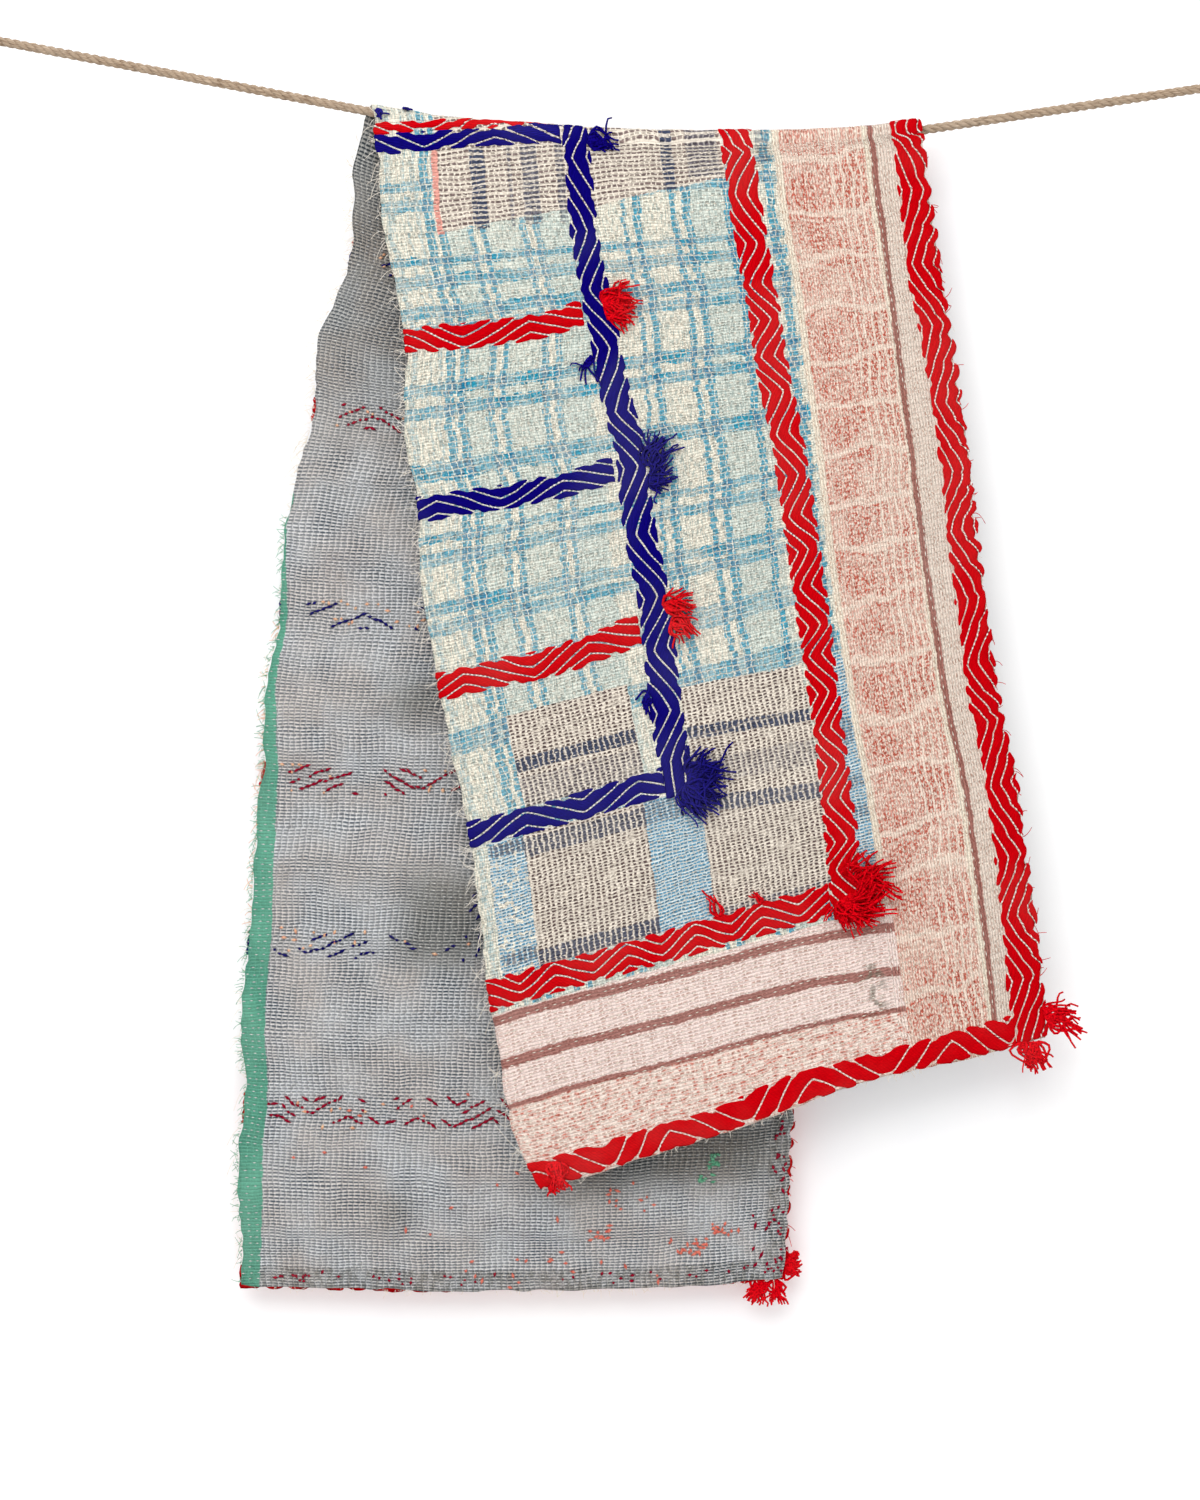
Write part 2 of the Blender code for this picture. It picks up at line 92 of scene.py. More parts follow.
# middle across and along, half width and half length, and how far the soft fold rises to the room
SOFT_FOLDS = np.array((
    (100, 900, 60, 100, 3), (290, 760, 60, 180, -3), (450, 620, 50, 240, 4), (40, 590, 50, 80, 4),
    (150, 430, 70, 100, -3), (290, 270, 80, 100, 4), (500, 180, 60, 120, 5), (20, 260, 50, 70, 5),
    (0, 110, 50, 50, 6), (140, 30, 60, 70, -4), (330, 10, 80, 60, 4), (30, 1300, 50, 70, 4),
    (100, 1480, 50, 100, -3), (50, 1660, 50, 70, 4), (150, 1830, 90, 50, 6), (170, 1930, 80, 30, -4),
    (60, 2020, 60, 60, 4), (300, 2120, 80, 80, 5), (480, 2160, 60, 100, -4), (130, 2180, 70, 60, -4),
)) / 1000
print("Cloth:", CLOTH_WIDTH, "x", CLOTH_LENGTH, "m, on a rope", 2 * ROPE_RADIUS, "m thick")

# %% [markdown]
# ## Camera
#
# The cloth is seen straight on, from about three metres, so that its edges keep their true slant.
# A long lens does that. The picture's long side is its height, and the sensor size goes with it.

# %% Camera
VIEW_CENTRE, VIEW_HEIGHT = (0.660, -0.723), 1.5
CAMERA_DISTANCE, FRONT_PLANE_Y, SENSOR = 3.2, -0.060, 36.0


def link(thing):
    """Put an object into the scene."""
    bpy.context.scene.collection.objects.link(thing)
    return thing


lens = bpy.data.cameras.new("camera")
lens.sensor_width = SENSOR
lens.lens = SENSOR * CAMERA_DISTANCE / VIEW_HEIGHT
camera = link(bpy.data.objects.new("camera", lens))
camera.location = (VIEW_CENTRE[0], FRONT_PLANE_Y - CAMERA_DISTANCE, VIEW_CENTRE[1])
camera.rotation_euler = (math.pi / 2, 0.0, 0.0)
bpy.context.scene.camera = camera
print("Camera:", round(lens.lens, 1), "mm lens at", tuple(round(v, 3) for v in camera.location))

# %% [markdown]
# ## The drawing board for nodes
#
# Materials and Geometry Nodes are both trees of nodes, so one small set of helpers draws them. One
# tree at a time is on the drawing board, and new nodes go into it. What comes out of a node can be
# added, multiplied and so on with Python's own signs, and each sign adds one Math node. Colours are
# written as they look on a screen, from 0 to 255, and turned into the values that a shader wants.

# %% What flows between nodes
FLOAT, VECTOR, COLOUR = "NodeSocketFloat", "NodeSocketVector", "NodeSocketColor"
GEOMETRY, MATERIAL = "NodeSocketGeometry", "NodeSocketMaterial"
PLAIN_SOCKETS = {float: FLOAT, int: "NodeSocketInt"}


class Flow:
    """What comes out of a node."""

    def __init__(self, socket):
        self.socket = socket

    def __abs__(self):
        return calc("ABSOLUTE", self)


def sign(operation, turned):
    """One of Python's signs; it is turned when the plain number stands on the left."""
    return lambda self, other: calc(operation, *((other, self) if turned else (self, other)))


for word, operation in (("add", "ADD"), ("sub", "SUBTRACT"), ("mul", "MULTIPLY"), ("truediv", "DIVIDE")):
    setattr(Flow, f"__{word}__", sign(operation, False))
    setattr(Flow, f"__r{word}__", sign(operation, True))


def put_on_board(tree):
    """The nodes that are made from now on go into this tree."""
    global board
    board = tree
    return tree


def wire(socket, value):
    """Link what comes out of a node to a socket, or set the socket to a plain value."""
    if isinstance(value, Flow):
        board.links.new(value.socket, socket)
    else:
        socket.default_value = value


def pick(sockets, key):
    """The socket with that number, or the one in use with that name."""
    return sockets[key] if isinstance(key, int) else next(s for s in sockets if s.name == key and s.enabled)


def node(kind, inputs=None, take=0, **settings):
    """A new node, set and wired; gives one of its outputs, or a list when take names several."""
    made = board.nodes.new(kind)
    for name, value in settings.items():
        setattr(made, name, value)
    for key, value in (inputs or {}).items():
        wire(pick(made.inputs, key), value)
    if isinstance(take, tuple):
        return [Flow(pick(made.outputs, key)) for key in take]
    return Flow(pick(made.outputs, take))


print("The drawing board is ready")

# %% The nodes used most


def calc(operation, *values):
    return node("ShaderNodeMath", dict(enumerate(values)), operation=operation)


def between(value, low, high):
    """From 0 to 1 as the value goes from low to high, smoothly."""
    return node("ShaderNodeMapRange", {"Value": value, "From Min": low, "From Max": high},
                interpolation_type="SMOOTHSTEP")


def fade(share, low, high):
    """From one value to the other."""
    return node("ShaderNodeMix", {0: share, 2: low, 3: high})


def blend(share, under, over, mode="MIX"):
    """One colour over another."""
    return node("ShaderNodeMix", {0: share, 6: under, 7: over}, 2, data_type="RGBA", blend_type=mode)


def noise(vector, scale, detail=2.0, roughness=0.5, take="Fac"):
    return node("ShaderNodeTexNoise",
                {"Vector": vector, "Scale": scale, "Detail": detail, "Roughness": roughness}, take)


def chance_of(number):
    """A value from 0 to 1 that differs from each whole number to the next."""
    return node("ShaderNodeTexWhiteNoise", {"W": number}, "Value", noise_dimensions="1D")


def point(x, y, z=0.0):
    return node("ShaderNodeCombineXYZ", {0: x, 1: y, 2: z})


def parts_of(vector):
    return node("ShaderNodeSeparateXYZ", {0: vector}, (0, 1, 2))


def object_place():
    return node("ShaderNodeTexCoord", take="Object")


def ramp(value, stops, how="LINEAR"):
    """Levels along a value from 0 to 1, as one colour ramp that starts at none."""
    made = node("ShaderNodeValToRGB", {"Fac": value})
    levels = made.socket.node.color_ramp
    levels.interpolation = how
    levels.elements.remove(levels.elements[1])
    for place, level in ((0.0, 0.0), *stops):
        stop = levels.elements.new(place) if place else levels.elements[0]
        stop.position, stop.color = place, (level, level, level, 1.0)
    return made


def colour(*screen):
    """A screen colour, 0 to 255, as linear values with full opacity."""
    shares = [value / 255 for value in screen]
    return (*(s / 12.92 if s <= 0.04045 else ((s + 0.055) / 1.055) ** 2.4 for s in shares), 1.0)


print("Linen white is", tuple(round(v, 2) for v in colour(236, 229, 210)))

# %% Groups of nodes


def draw_group(draw, name, kind, inputs, outputs):
    """A tree with named inputs, drawn by a function that is given them and gives the outputs."""
    tree = put_on_board(bpy.data.node_groups.new(name, kind))
    for way, sockets in (("INPUT", inputs), ("OUTPUT", outputs)):
        for label, start in sockets.items():
            made = tree.interface.new_socket(label.replace("_", " ").capitalize(), in_out=way,
                                             socket_type=PLAIN_SOCKETS.get(type(start), start))
            if type(start) in PLAIN_SOCKETS:
                made.default_value = start
    given = tree.nodes.new("NodeGroupInput").outputs
    drawn = draw(*(Flow(given[number]) for number in range(len(inputs))))
    result = tree.nodes.new("NodeGroupOutput")
    for number, value in enumerate(drawn if isinstance(drawn, tuple) else (drawn,)):
        wire(result.inputs[number], value)
    print("Tree made:", name, "with", len(tree.nodes), "nodes")
    return tree


def shader_group(outputs, **inputs):
    """Turns the function under it into a shader group; calling it places the group on the board."""
    def build(draw):
        tree = draw_group(draw, draw.__name__, "ShaderNodeTree", inputs, outputs)
        take = tuple(range(len(outputs))) if len(outputs) > 1 else 0
        return lambda *values: node("ShaderNodeGroup", dict(enumerate(values)), take, node_tree=tree)
    return build


def shape_tree(**sizes):
    """Turns the function under it into a Geometry Nodes tree with a finish."""
    def build(draw):
        def to_the_end(*given):
            shape = node("GeometryNodeRealizeInstances", {"Geometry": draw(*given[:-1])})
            smooth = node("GeometryNodeSetShadeSmooth", {"Geometry": shape})
            return node("GeometryNodeSetMaterial", {"Geometry": smooth, "Material": given[-1]})
        return draw_group(to_the_end, draw.__name__, "GeometryNodeTree",
                          {"geometry": GEOMETRY, **sizes, "finish": MATERIAL}, {"geometry": GEOMETRY})
    return build


# %% [markdown]
# ## Finishes shared by several materials
#
# Old cloth, wool and jute all have three things in common: they are spun from fibres, they have
# faded unevenly, and they hold some dust. Each of these is made once, as a shader group, and every
# material places it with its own values. A group only hands out colours, masks and heights. The
# shader itself stays in the material, where its plain numbers can be read.

# %% Group: fading and dust
PAPER_WHITE, DUST_TINT = colour(240, 236, 228), colour(176, 164, 148)


@shader_group({"colour": COLOUR}, colour=COLOUR, place=VECTOR, fading=0.1, dust=0.1)
def handled(shown, where, fading, dust):
    """Uneven fading in broad patches, and dust in small ones."""
    lighter = blend(between(noise(where, 11.0, 3.0), 0.40, 0.72) * fading, shown, PAPER_WHITE)
    dusty = between(noise(where, 190.0, 3.0, 0.6), 0.48, 0.75) * dust
    return blend(dusty, lighter, DUST_TINT, "MULTIPLY")


# %% Group: spun fibres
@shader_group({"shade": FLOAT, "height": FLOAT}, place=VECTOR, fineness=900.0, streak=0.08)
def spun_fibre(where, fineness, streak):
    """Fine streaks along x: a shade from 0 to 1, and a height for a bump."""
    x, y, z = parts_of(where)
    streaks = noise(point(x * streak, y, z), fineness, 3.0, 0.6)
    return between(streaks, 0.30, 0.70), streaks


# %% A material's frame


def new_material(name, roughness, sheen=0.0, shine=0.10):
    """A material and the inputs of its shader, with its tree on the board."""
    made = bpy.data.materials.new(name)
    made.use_nodes = True
    shader = put_on_board(made.node_tree).nodes["Principled BSDF"].inputs
    shader["Roughness"].default_value = roughness
    shader["Specular IOR Level"].default_value = shine
    shader["Sheen Weight"].default_value = sheen
    shader["Sheen Roughness"].default_value = 0.5
    print("Material made:", name)
    return made, shader


def dress(shader, shown, height, bump, strength=1.0):
    """Wire a colour and a bump into a shader."""
    wire(shader["Base Color"], shown)
    wire(shader["Normal"],
         node("ShaderNodeBump", {"Height": height, "Distance": bump, "Strength": strength}))


def attribute(name):
    return node("ShaderNodeAttribute", take="Fac", attribute_name=name)


# %% [markdown]
# ## The rope
#
# A laid rope is three strands twisted round each other. It could be a plain tube with a bump, but
# its outline then stays straight, and a rope is known by its wavy edge. Here one tree of nodes reads
# the rope's route, pushes three copies of it off the centre line in a spiral, and runs a lobed
# profile along each. The same tree makes the bights round the pegs.
#
# The rope is held taut by the pegs and sags only where the cloth weighs on it, so its length is the
# length of this route. It ends just outside the view, in a bight that is gripped by a whipping.

# %% Rope material
JUTE_LIGHT, JUTE_DARK = colour(204, 182, 158), colour(118, 94, 72)
JUTE, jute_shader = new_material("jute_fibre", 0.85, 0.15)
jute_place = point(attribute("fibre_along"), attribute("fibre_round"))
jute_shade, jute_height = spun_fibre(jute_place, 1500.0, 0.06)
jute_shown = handled(blend(jute_shade, JUTE_DARK, JUTE_LIGHT), object_place(), 0.05, 0.25)
dress(jute_shader, jute_shown, jute_height, 0.0004)

# %% Running a tree on a mesh


def mesh_of(name, points, edges=(), faces=()):
    mesh = bpy.data.meshes.new(name)
    mesh.from_pydata([tuple(p) for p in points], edges, faces)
    return mesh


def mark(mesh, name, values):
    """Keep one number, or one direction, for every point of a mesh."""
    kind, key = ("FLOAT_VECTOR", "vector") if values.ndim == 2 else ("FLOAT", "value")
    mesh.attributes.new(name, kind, "POINT").data.foreach_set(key, values.ravel())


def show(name, mesh):
    """Put a finished mesh into the scene as a piece."""
    mesh.name = name
    print(name + ":", sum(len(face.vertices) - 2 for face in mesh.polygons), "triangles")
    return link(bpy.data.objects.new(name, mesh))


def grow(name, base, tree, **sizes):
    """Run a Geometry Nodes tree on a base mesh and keep what it makes as a plain mesh piece."""
    holder = link(bpy.data.objects.new(name + "_base", base))
    modifier = holder.modifiers.new("grow", "NODES")
    modifier.node_group = tree
    sockets = {item.name: item.identifier for item in tree.interface.items_tree if item.in_out == "INPUT"}
    for label, value in sizes.items():
        modifier[sockets[label.replace("_", " ").capitalize()]] = value
    graph = bpy.context.evaluated_depsgraph_get()
    mesh = bpy.data.meshes.new_from_object(holder.evaluated_get(graph))
    bpy.data.objects.remove(holder)
    return show(name, mesh)


def line_mesh(name, lines, thin=None):
    """Open lines as edges only; thin is how thick each point's thread is, as a share."""
    starts = np.cumsum([0] + [len(line) for line in lines])
    edges = [(start + step, start + step + 1) for start, line in zip(starts, lines)
             for step in range(len(line) - 1)]
    mesh = mesh_of(name, np.concatenate([np.asarray(line, float) for line in lines]), edges)
    if thin is not None:
        mark(mesh, "thin", np.concatenate(thin))
    return mesh


# %% Nodes for shapes


def vector_calc(operation, first, other):
    """The result of one Vector Math node; a scale goes into its fourth input."""
    second = 3 if operation == "SCALE" else 1
    return node("ShaderNodeVectorMath", {0: first, second: other}, operation=operation)


def store(shape, name, value, kind="FLOAT"):
    return node("GeometryNodeStoreNamedAttribute", {"Geometry": shape, "Name": name, "Value": value},
                data_type=kind)


def stored(name, kind="FLOAT"):
    return node("GeometryNodeInputNamedAttribute", {"Name": name}, "Attribute", data_type=kind)


def ring(sides, radius):
    return node("GeometryNodeCurvePrimitiveCircle", {"Resolution": sides, "Radius": radius})


def sweep(line, profile, scale=1.0):
    return node("GeometryNodeCurveToMesh",
                {"Curve": line, "Profile Curve": profile, "Scale": scale, "Fill Caps": True})


# %% Tree: three strands along a route
ROPE_STRANDS, YARNS_IN_STRAND = 3, 6
TO_ROOM = (0.0, -1.0, 0.0)


@shape_tree(strand_offset=0.0024, strand_radius=0.0022, lay=0.05, step=0.0025, yarn_depth=0.05)
def laid_rope(base, strand_offset, strand_radius, lay, step, yarn_depth):
    """Three strands laid round a route that lies in a plane facing the room."""
    route = node("GeometryNodeMeshToCurve", {"Mesh": base})
    even = node("GeometryNodeResampleCurve", {"Curve": route, "Length": step}, mode="LENGTH")
    factor, length = node("GeometryNodeSplineParameter", take=("Factor", "Length"))
    twist = length / lay * TURN
    marked = store(even, "fibre_along", length)
    lobes = calc("COSINE", factor * (TURN * YARNS_IN_STRAND))
    ridge = vector_calc("SCALE", node("GeometryNodeInputPosition"), lobes * yarn_depth)
    lobed = node("GeometryNodeSetPosition",
                 {"Geometry": ring(3 * YARNS_IN_STRAND, strand_radius), "Offset": ridge})
    profile = store(lobed, "fibre_round", factor * (strand_radius * TURN))
    sideways = vector_calc("CROSS_PRODUCT", node("GeometryNodeInputTangent"), TO_ROOM)
    joined = node("GeometryNodeJoinGeometry")
    for strand in range(ROPE_STRANDS):
        angle = twist + TURN * strand / ROPE_STRANDS
        out = vector_calc("SCALE", TO_ROOM, calc("COSINE", angle))
        side = vector_calc("SCALE", sideways, calc("SINE", angle))
        offset = vector_calc("SCALE", vector_calc("ADD", out, side), strand_offset)
        moved = node("GeometryNodeSetPosition", {"Geometry": marked, "Offset": offset})
        tilted = node("GeometryNodeSetCurveTilt", {"Curve": moved, "Tilt": twist * -1.0})
        wire(joined.socket.node.inputs[0], sweep(tilted, profile))
    return joined


# %% Tree: threads along lines
@shape_tree(radius=0.0005, sides=4)
def threads(base, radius, sides):
    """A thin tube on every line; the points' own share makes it taper."""
    return sweep(node("GeometryNodeMeshToCurve", {"Mesh": base}), ring(sides, radius), stored("thin"))


def tie_threads(name, lines, radius, sides, finish, taper=0.0):
    """Thin round threads along lines; taper is how much thinner their far ends are."""
    shares = [1.0 - taper * np.linspace(0.0, 1.0, len(line)) for line in lines]
    return grow(name, line_mesh(name, lines, shares), threads, radius=radius, sides=sides, finish=finish)


# %% Curves in numbers


def mix(low, high, share):
    return low + (high - low) * share


def smooth(value):
    value = np.clip(value, 0.0, 1.0)
    return value * value * (3.0 - 2.0 * value)


def unit(vector):
    return vector / np.linalg.norm(vector, axis=-1, keepdims=True)


def hermite(share, start, end, start_slope, end_slope):
    """A cubic from start to end; the slopes are already multiplied by the span."""
    square = share * share
    cube = square * share
    return ((2 * cube - 3 * square + 1) * start + (cube - 2 * square + share) * start_slope
            + (3 * square - 2 * cube) * end + (cube - square) * end_slope)


def rope_height(x):
    """Height of the rope's centre line at x: straight to the cloth, and sagging under it."""
    x = np.asarray(x, float)
    left_slope = (SAG_LEFT[2] - LEFT_PEG[2]) / (SAG_LEFT[0] - LEFT_PEG[0])
    right_slope = (RIGHT_PEG[2] - SAG_RIGHT[2]) / (RIGHT_PEG[0] - SAG_RIGHT[0])
    span = SAG_RIGHT[0] - SAG_LEFT[0]
    sagging = hermite((x - SAG_LEFT[0]) / span, SAG_LEFT[2], SAG_RIGHT[2],
                      left_slope * span, right_slope * span)
    before = LEFT_PEG[2] + left_slope * (x - LEFT_PEG[0])
    after = RIGHT_PEG[2] + right_slope * (x - RIGHT_PEG[0])
    return np.where(x <= SAG_LEFT[0], before, np.where(x >= SAG_RIGHT[0], after, sagging))


def soft_noise(u, v, size, seed):
    """Smooth hills and hollows from -1 to 1, about one size apart; the same at every run."""
    lattice = np.random.default_rng(seed).uniform(-1.0, 1.0, (64, 64))
    x, y = np.broadcast_arrays(np.asarray(u, float) / size, np.asarray(v, float) / size)
    column, row = np.floor(x).astype(int), np.floor(y).astype(int)
    share_x, share_y = smooth(x - column), smooth(y - row)

    def corner(right, up):
        return lattice[(column + right) % 64, (row + up) % 64]

    return mix(mix(corner(0, 0), corner(1, 0), share_x), mix(corner(0, 1), corner(1, 1), share_x), share_y)


print("The rope hangs", round(float(-rope_height(0.7)) * 1000), "mm below the left peg in the middle")

# %% The rope piece
COLLAR_START, COLLAR_END, COLLAR_GAP = 0.026, 0.044, 0.0004
ROUTE_STEP = 0.02


def at_peg(peg):
    """From a peg along the rope, towards the cloth, and square to it, upward."""
    away = unit((SAG_LEFT if peg is LEFT_PEG else SAG_RIGHT) - peg)
    return away, np.cross(away, TO_ROOM)


def rope_route():
    """The rope's centre line between the two collars."""
    left, right = (peg + at_peg(peg)[0] * (COLLAR_END + COLLAR_GAP) for peg in (LEFT_PEG, RIGHT_PEG))
    x = np.linspace(left[0], right[0], round((right[0] - left[0]) / ROUTE_STEP) + 1)
    return np.stack([x, np.full_like(x, LINE_Y), rope_height(x)], axis=1)


def lay_rope(name, route):
    """Three strands along a route."""
    return grow(name, line_mesh(name, [route]), laid_rope, strand_offset=0.0024, strand_radius=0.00235,
                lay=0.027, step=0.0019, yarn_depth=0.07, finish=JUTE)


ROUTE = rope_route()
rope = lay_rope("jute_rope", ROUTE)

# %% The rope's ends
PEG_STEM_RADIUS = 0.0040
LOOP_RADIUS = PEG_STEM_RADIUS + COLLAR_GAP + ROPE_RADIUS
STRAND_HALF = ROPE_RADIUS + 0.0003
BIGHT_OPENING, LOOP_STEPS = math.radians(69), 24
TWINE_RADIUS, TWINE_PITCH, TWINE_STEPS_PER_TURN = 0.0009, 0.0019, 20


def bight_route(peg):
    """In from the collar, round the peg, and back to the collar."""
    away, upward = at_peg(peg)
    reaches = (COLLAR_END - 0.003, COLLAR_START)
    ins = [peg + away * reach + upward * STRAND_HALF for reach in reaches]
    angles = np.linspace(BIGHT_OPENING, TURN - BIGHT_OPENING, LOOP_STEPS + 1)
    arc = [peg + LOOP_RADIUS * (away * math.cos(angle) + upward * math.sin(angle)) for angle in angles]
    return np.array(ins + arc + [peg + away * reach - upward * STRAND_HALF for reach in reaches[::-1]])


def whipping_line(peg):
    """Twine wound round both strands: a flat spiral that fits them."""
    away, upward = at_peg(peg)
    length = COLLAR_END - COLLAR_START - 2 * TWINE_RADIUS
    turns = length / TWINE_PITCH
    share = np.linspace(0.0, 1.0, round(turns * TWINE_STEPS_PER_TURN))[:, None]
    angle = TURN * turns * share
    tall, deep = STRAND_HALF + ROPE_RADIUS * 0.86, ROPE_RADIUS + TWINE_RADIUS * 0.6
    return (peg + away * (COLLAR_START + TWINE_RADIUS + length * share) + upward * (tall * np.cos(angle))
            + np.array(TO_ROOM) * (deep * np.sin(angle)))


rope_ends = []
for side_name, peg in (("left", LEFT_PEG), ("right", RIGHT_PEG)):
    bight = lay_rope("rope_bight_" + side_name, bight_route(peg))
    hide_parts("rope_end_" + side_name)
    rope_ends += [bight, tie_threads("whipping_" + side_name, [whipping_line(peg)], TWINE_RADIUS, 6, JUTE)]

# %% Loose fibres of the rope
HAIR_COUNT, HAIR_LENGTH, HAIR_RADIUS = 260, 0.006, 0.00007


def rope_hairs():
    """Short bent hairs that stand out of the rope all along it."""
    chance = np.random.default_rng(5)
    for _ in range(HAIR_COUNT):
        spot = chance.uniform(0, len(ROUTE) - 1.001)
        near = mix(ROUTE[int(spot)], ROUTE[int(spot) + 1], spot % 1.0)
        turn = chance.uniform(0, TURN)
        outward = np.array((0.0, math.cos(turn), math.sin(turn)))
        lean = np.array((chance.uniform(-1.2, 1.2), 0.0, chance.uniform(-0.3, 0.3)))
        reach = HAIR_LENGTH * chance.uniform(0.4, 1.0)
        root = near + outward * ROPE_RADIUS * 0.85
        yield [root, root + (outward + lean * 0.4) * reach * 0.5, root + (outward + lean) * reach * 0.8]


rope_ends.append(tie_threads("rope_hairs", list(rope_hairs()), HAIR_RADIUS, 3, JUTE, 0.6))
for piece in [rope] + rope_ends:
    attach(piece, "root")
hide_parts("rope_line")

# %% [markdown]
# ## The quilted cloth's shape
#
# A hanging quilt is stiff: its layers are stitched flat, so it bends in long soft folds and keeps its
# width. A cloth simulation would give a softer drape than that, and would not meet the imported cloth.
# The surface is computed instead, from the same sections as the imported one, with a finer mesh. The
# puckers between the stitches are added on top, and the edges are made thin and uneven.
#
# Two numbers name a place on the cloth: U, from the cut edge to the hemmed edge, and V, from the
# front hem up and over the rope. They are kept as UV maps, so that the finishes follow the cloth.

# %% The cloth's middle surface
FRONT_END, BACK_START = FOLD_TOP - FOLD_HALF, FOLD_TOP + FOLD_HALF
HEM_LIFT = 0.031                # how much more the hemmed edge was taken up than the cut one
PULL_START = 0.93
CREST = 0.0072                  # how far the stiff fold stands off the rope in its middle


def fold_section(along, side, y):
    """The section where a flap leaves the fold, level with the fold's centre."""
    cut_x, hem_x = FOLD_EDGES[side]
    drop = FOLD_RISE - FOLD_RADIUS
    return (along, cut_x, rope_height(cut_x) + drop, hem_x, rope_height(hem_x) + drop, y, 1.0)


FRONT = np.vstack([np.array(FRONT_SECTIONS) / 1000, fold_section(FRONT_END, "front", LINE_Y - FOLD_RADIUS)])
BACK = np.vstack([fold_section(BACK_START, "back", LINE_Y + FOLD_RADIUS), np.array(BACK_SECTIONS) / 1000])


def sections_at(stated, along):
    """The six columns of the table at places along, on smooth curves through the stated ones."""
    count = len(stated)
    before, after = np.maximum(np.arange(count) - 1, 0), np.minimum(np.arange(count) + 1, count - 1)
    slopes = (stated[after] - stated[before]) / (stated[after, 0] - stated[before, 0])[:, None]
    index = np.clip(np.searchsorted(stated[:, 0], along, side="right") - 1, 0, count - 2)
    span = (stated[index + 1, 0] - stated[index, 0])[:, None]
    share = (along - stated[index, 0])[:, None] / span
    slopes = slopes[index] * span, slopes[index + 1] * span
    return hermite(share, stated[index], stated[index + 1], *slopes)[:, 1:].T


def sag_between(cut_x, hem_x, share):
    """How far the rope lies under the straight line between the two edges."""
    return rope_height(mix(cut_x, hem_x, share)) - mix(rope_height(cut_x), rope_height(hem_x), share)


def swelling(across, along):
    """How far the soft folds bring the cloth towards the room."""
    rise = sum(rise * np.exp(-((across - u) / wide) ** 2 - ((along - v) / long) ** 2)
               for u, v, wide, long, rise in SOFT_FOLDS)
    return rise * smooth(np.abs(along - FOLD_TOP) / FOLD_CALM)


def cloth_points(across, along):
    """Points of the cloth's middle surface; both are flat arrays of lengths in metres."""
    share = across / CLOTH_WIDTH
    turn = (along - FOLD_TOP) / FOLD_HALF
    points = np.empty((len(across), 3))
    for stated, here in ((FRONT, turn <= -1.0), (BACK, turn >= 1.0)):
        cut_x, cut_z, hem_x, hem_z, y, bow = sections_at(stated, along[here])
        points[here, 0] = mix(cut_x, hem_x, share[here])
        points[here, 1] = y - swelling(across[here], along[here])
        points[here, 2] = mix(cut_z, hem_z, share[here]) + bow * sag_between(cut_x, hem_x, share[here])
    over = np.abs(turn) < 1.0
    share, turn = share[over], turn[over]
    angle = turn * math.pi / 2
    x = mix(mix(*FOLD_EDGES["front"], share), mix(*FOLD_EDGES["back"], share), (turn + 1.0) / 2.0)
    crest = CREST * smooth((share - 0.05) / 0.45) * mix(1.0, 0.45, smooth((share - 0.6) / 0.4))
    z = rope_height(x) + FOLD_RISE - (FOLD_RADIUS + crest) * (1.0 - np.cos(angle)) + crest
    points[over] = np.stack([x, LINE_Y + FOLD_RADIUS * np.sin(angle), z], axis=1)
    return points


# %% Edges drawn in by their stitches
SCALLOP, SCALLOP_LONG = 0.0036, 0.0265
RIPPLE, EDGE_REACH = 0.0019, 0.030


def drawn_in(across, pattern):
    """Where U comes to lie: the hemmed edge is scalloped by its wool, the cut edge ripples."""
    at_hem = smooth(1.0 - (CLOTH_WIDTH - across) / EDGE_REACH)
    at_cut = smooth(1.0 - across / EDGE_REACH) * mix(0.4, 1.0, smooth((pattern - FOLD_TOP) / 0.10))
    turns = pattern / SCALLOP_LONG + 0.4 * soft_noise(pattern, 0.0, 0.06, 61)
    scallop = 1.0 - np.abs(np.sin(turns * math.pi)) ** 0.7
    ripple = 1.0 + soft_noise(pattern, 0.0, 0.024, 62) + 0.7 * soft_noise(pattern, 0.0, 0.055, 63)
    return across - at_hem * SCALLOP * scallop + at_cut * RIPPLE * ripple


# %% Where a thread of the cloth lies


def thread_shift(across, along):
    """How far the cloth's own cross threads run from the sections, as they hang and pull."""
    share = across / CLOTH_WIDTH
    front = along < FOLD_TOP
    shift = np.empty_like(across)
    for stated, here in ((FRONT, front), (BACK, ~front)):
        kept = np.clip(along[here], stated[0, 0], stated[-1, 0])
        cut_x, _, hem_x, _, _, bow = sections_at(stated, kept)
        if stated is FRONT:
            pull = smooth((kept - PULL_START) / (FRONT_END - PULL_START))
        else:
            pull = bow = 1.0 - smooth((along[here] - FOLD_TOP) / 0.45)
        shift[here] = bow * sag_between(cut_x, hem_x, share[here]) - HEM_LIFT * pull * share[here]
    return shift


def frame_at(across, along, pattern):
    """Middle-surface points at places along, and the directions over, up and out of them."""
    reach = 0.002               # the directions are taken over this distance to each side
    across = drawn_in(across, pattern)
    over = unit(cloth_points(across + reach, along) - cloth_points(across - reach, along))
    up = unit(cloth_points(across, along + reach) - cloth_points(across, along - reach))
    return cloth_points(across, along), over, up, unit(np.cross(over, up))


def surface_frame(across, pattern):
    """The same for places that are named by U and V."""
    across, pattern = (np.asarray(v, float).ravel() for v in np.broadcast_arrays(across, pattern))
    along = pattern.copy()
    for _ in range(10):
        along = pattern - thread_shift(across, np.clip(along, 0.0, CLOTH_LENGTH))
    return frame_at(across, along, pattern)


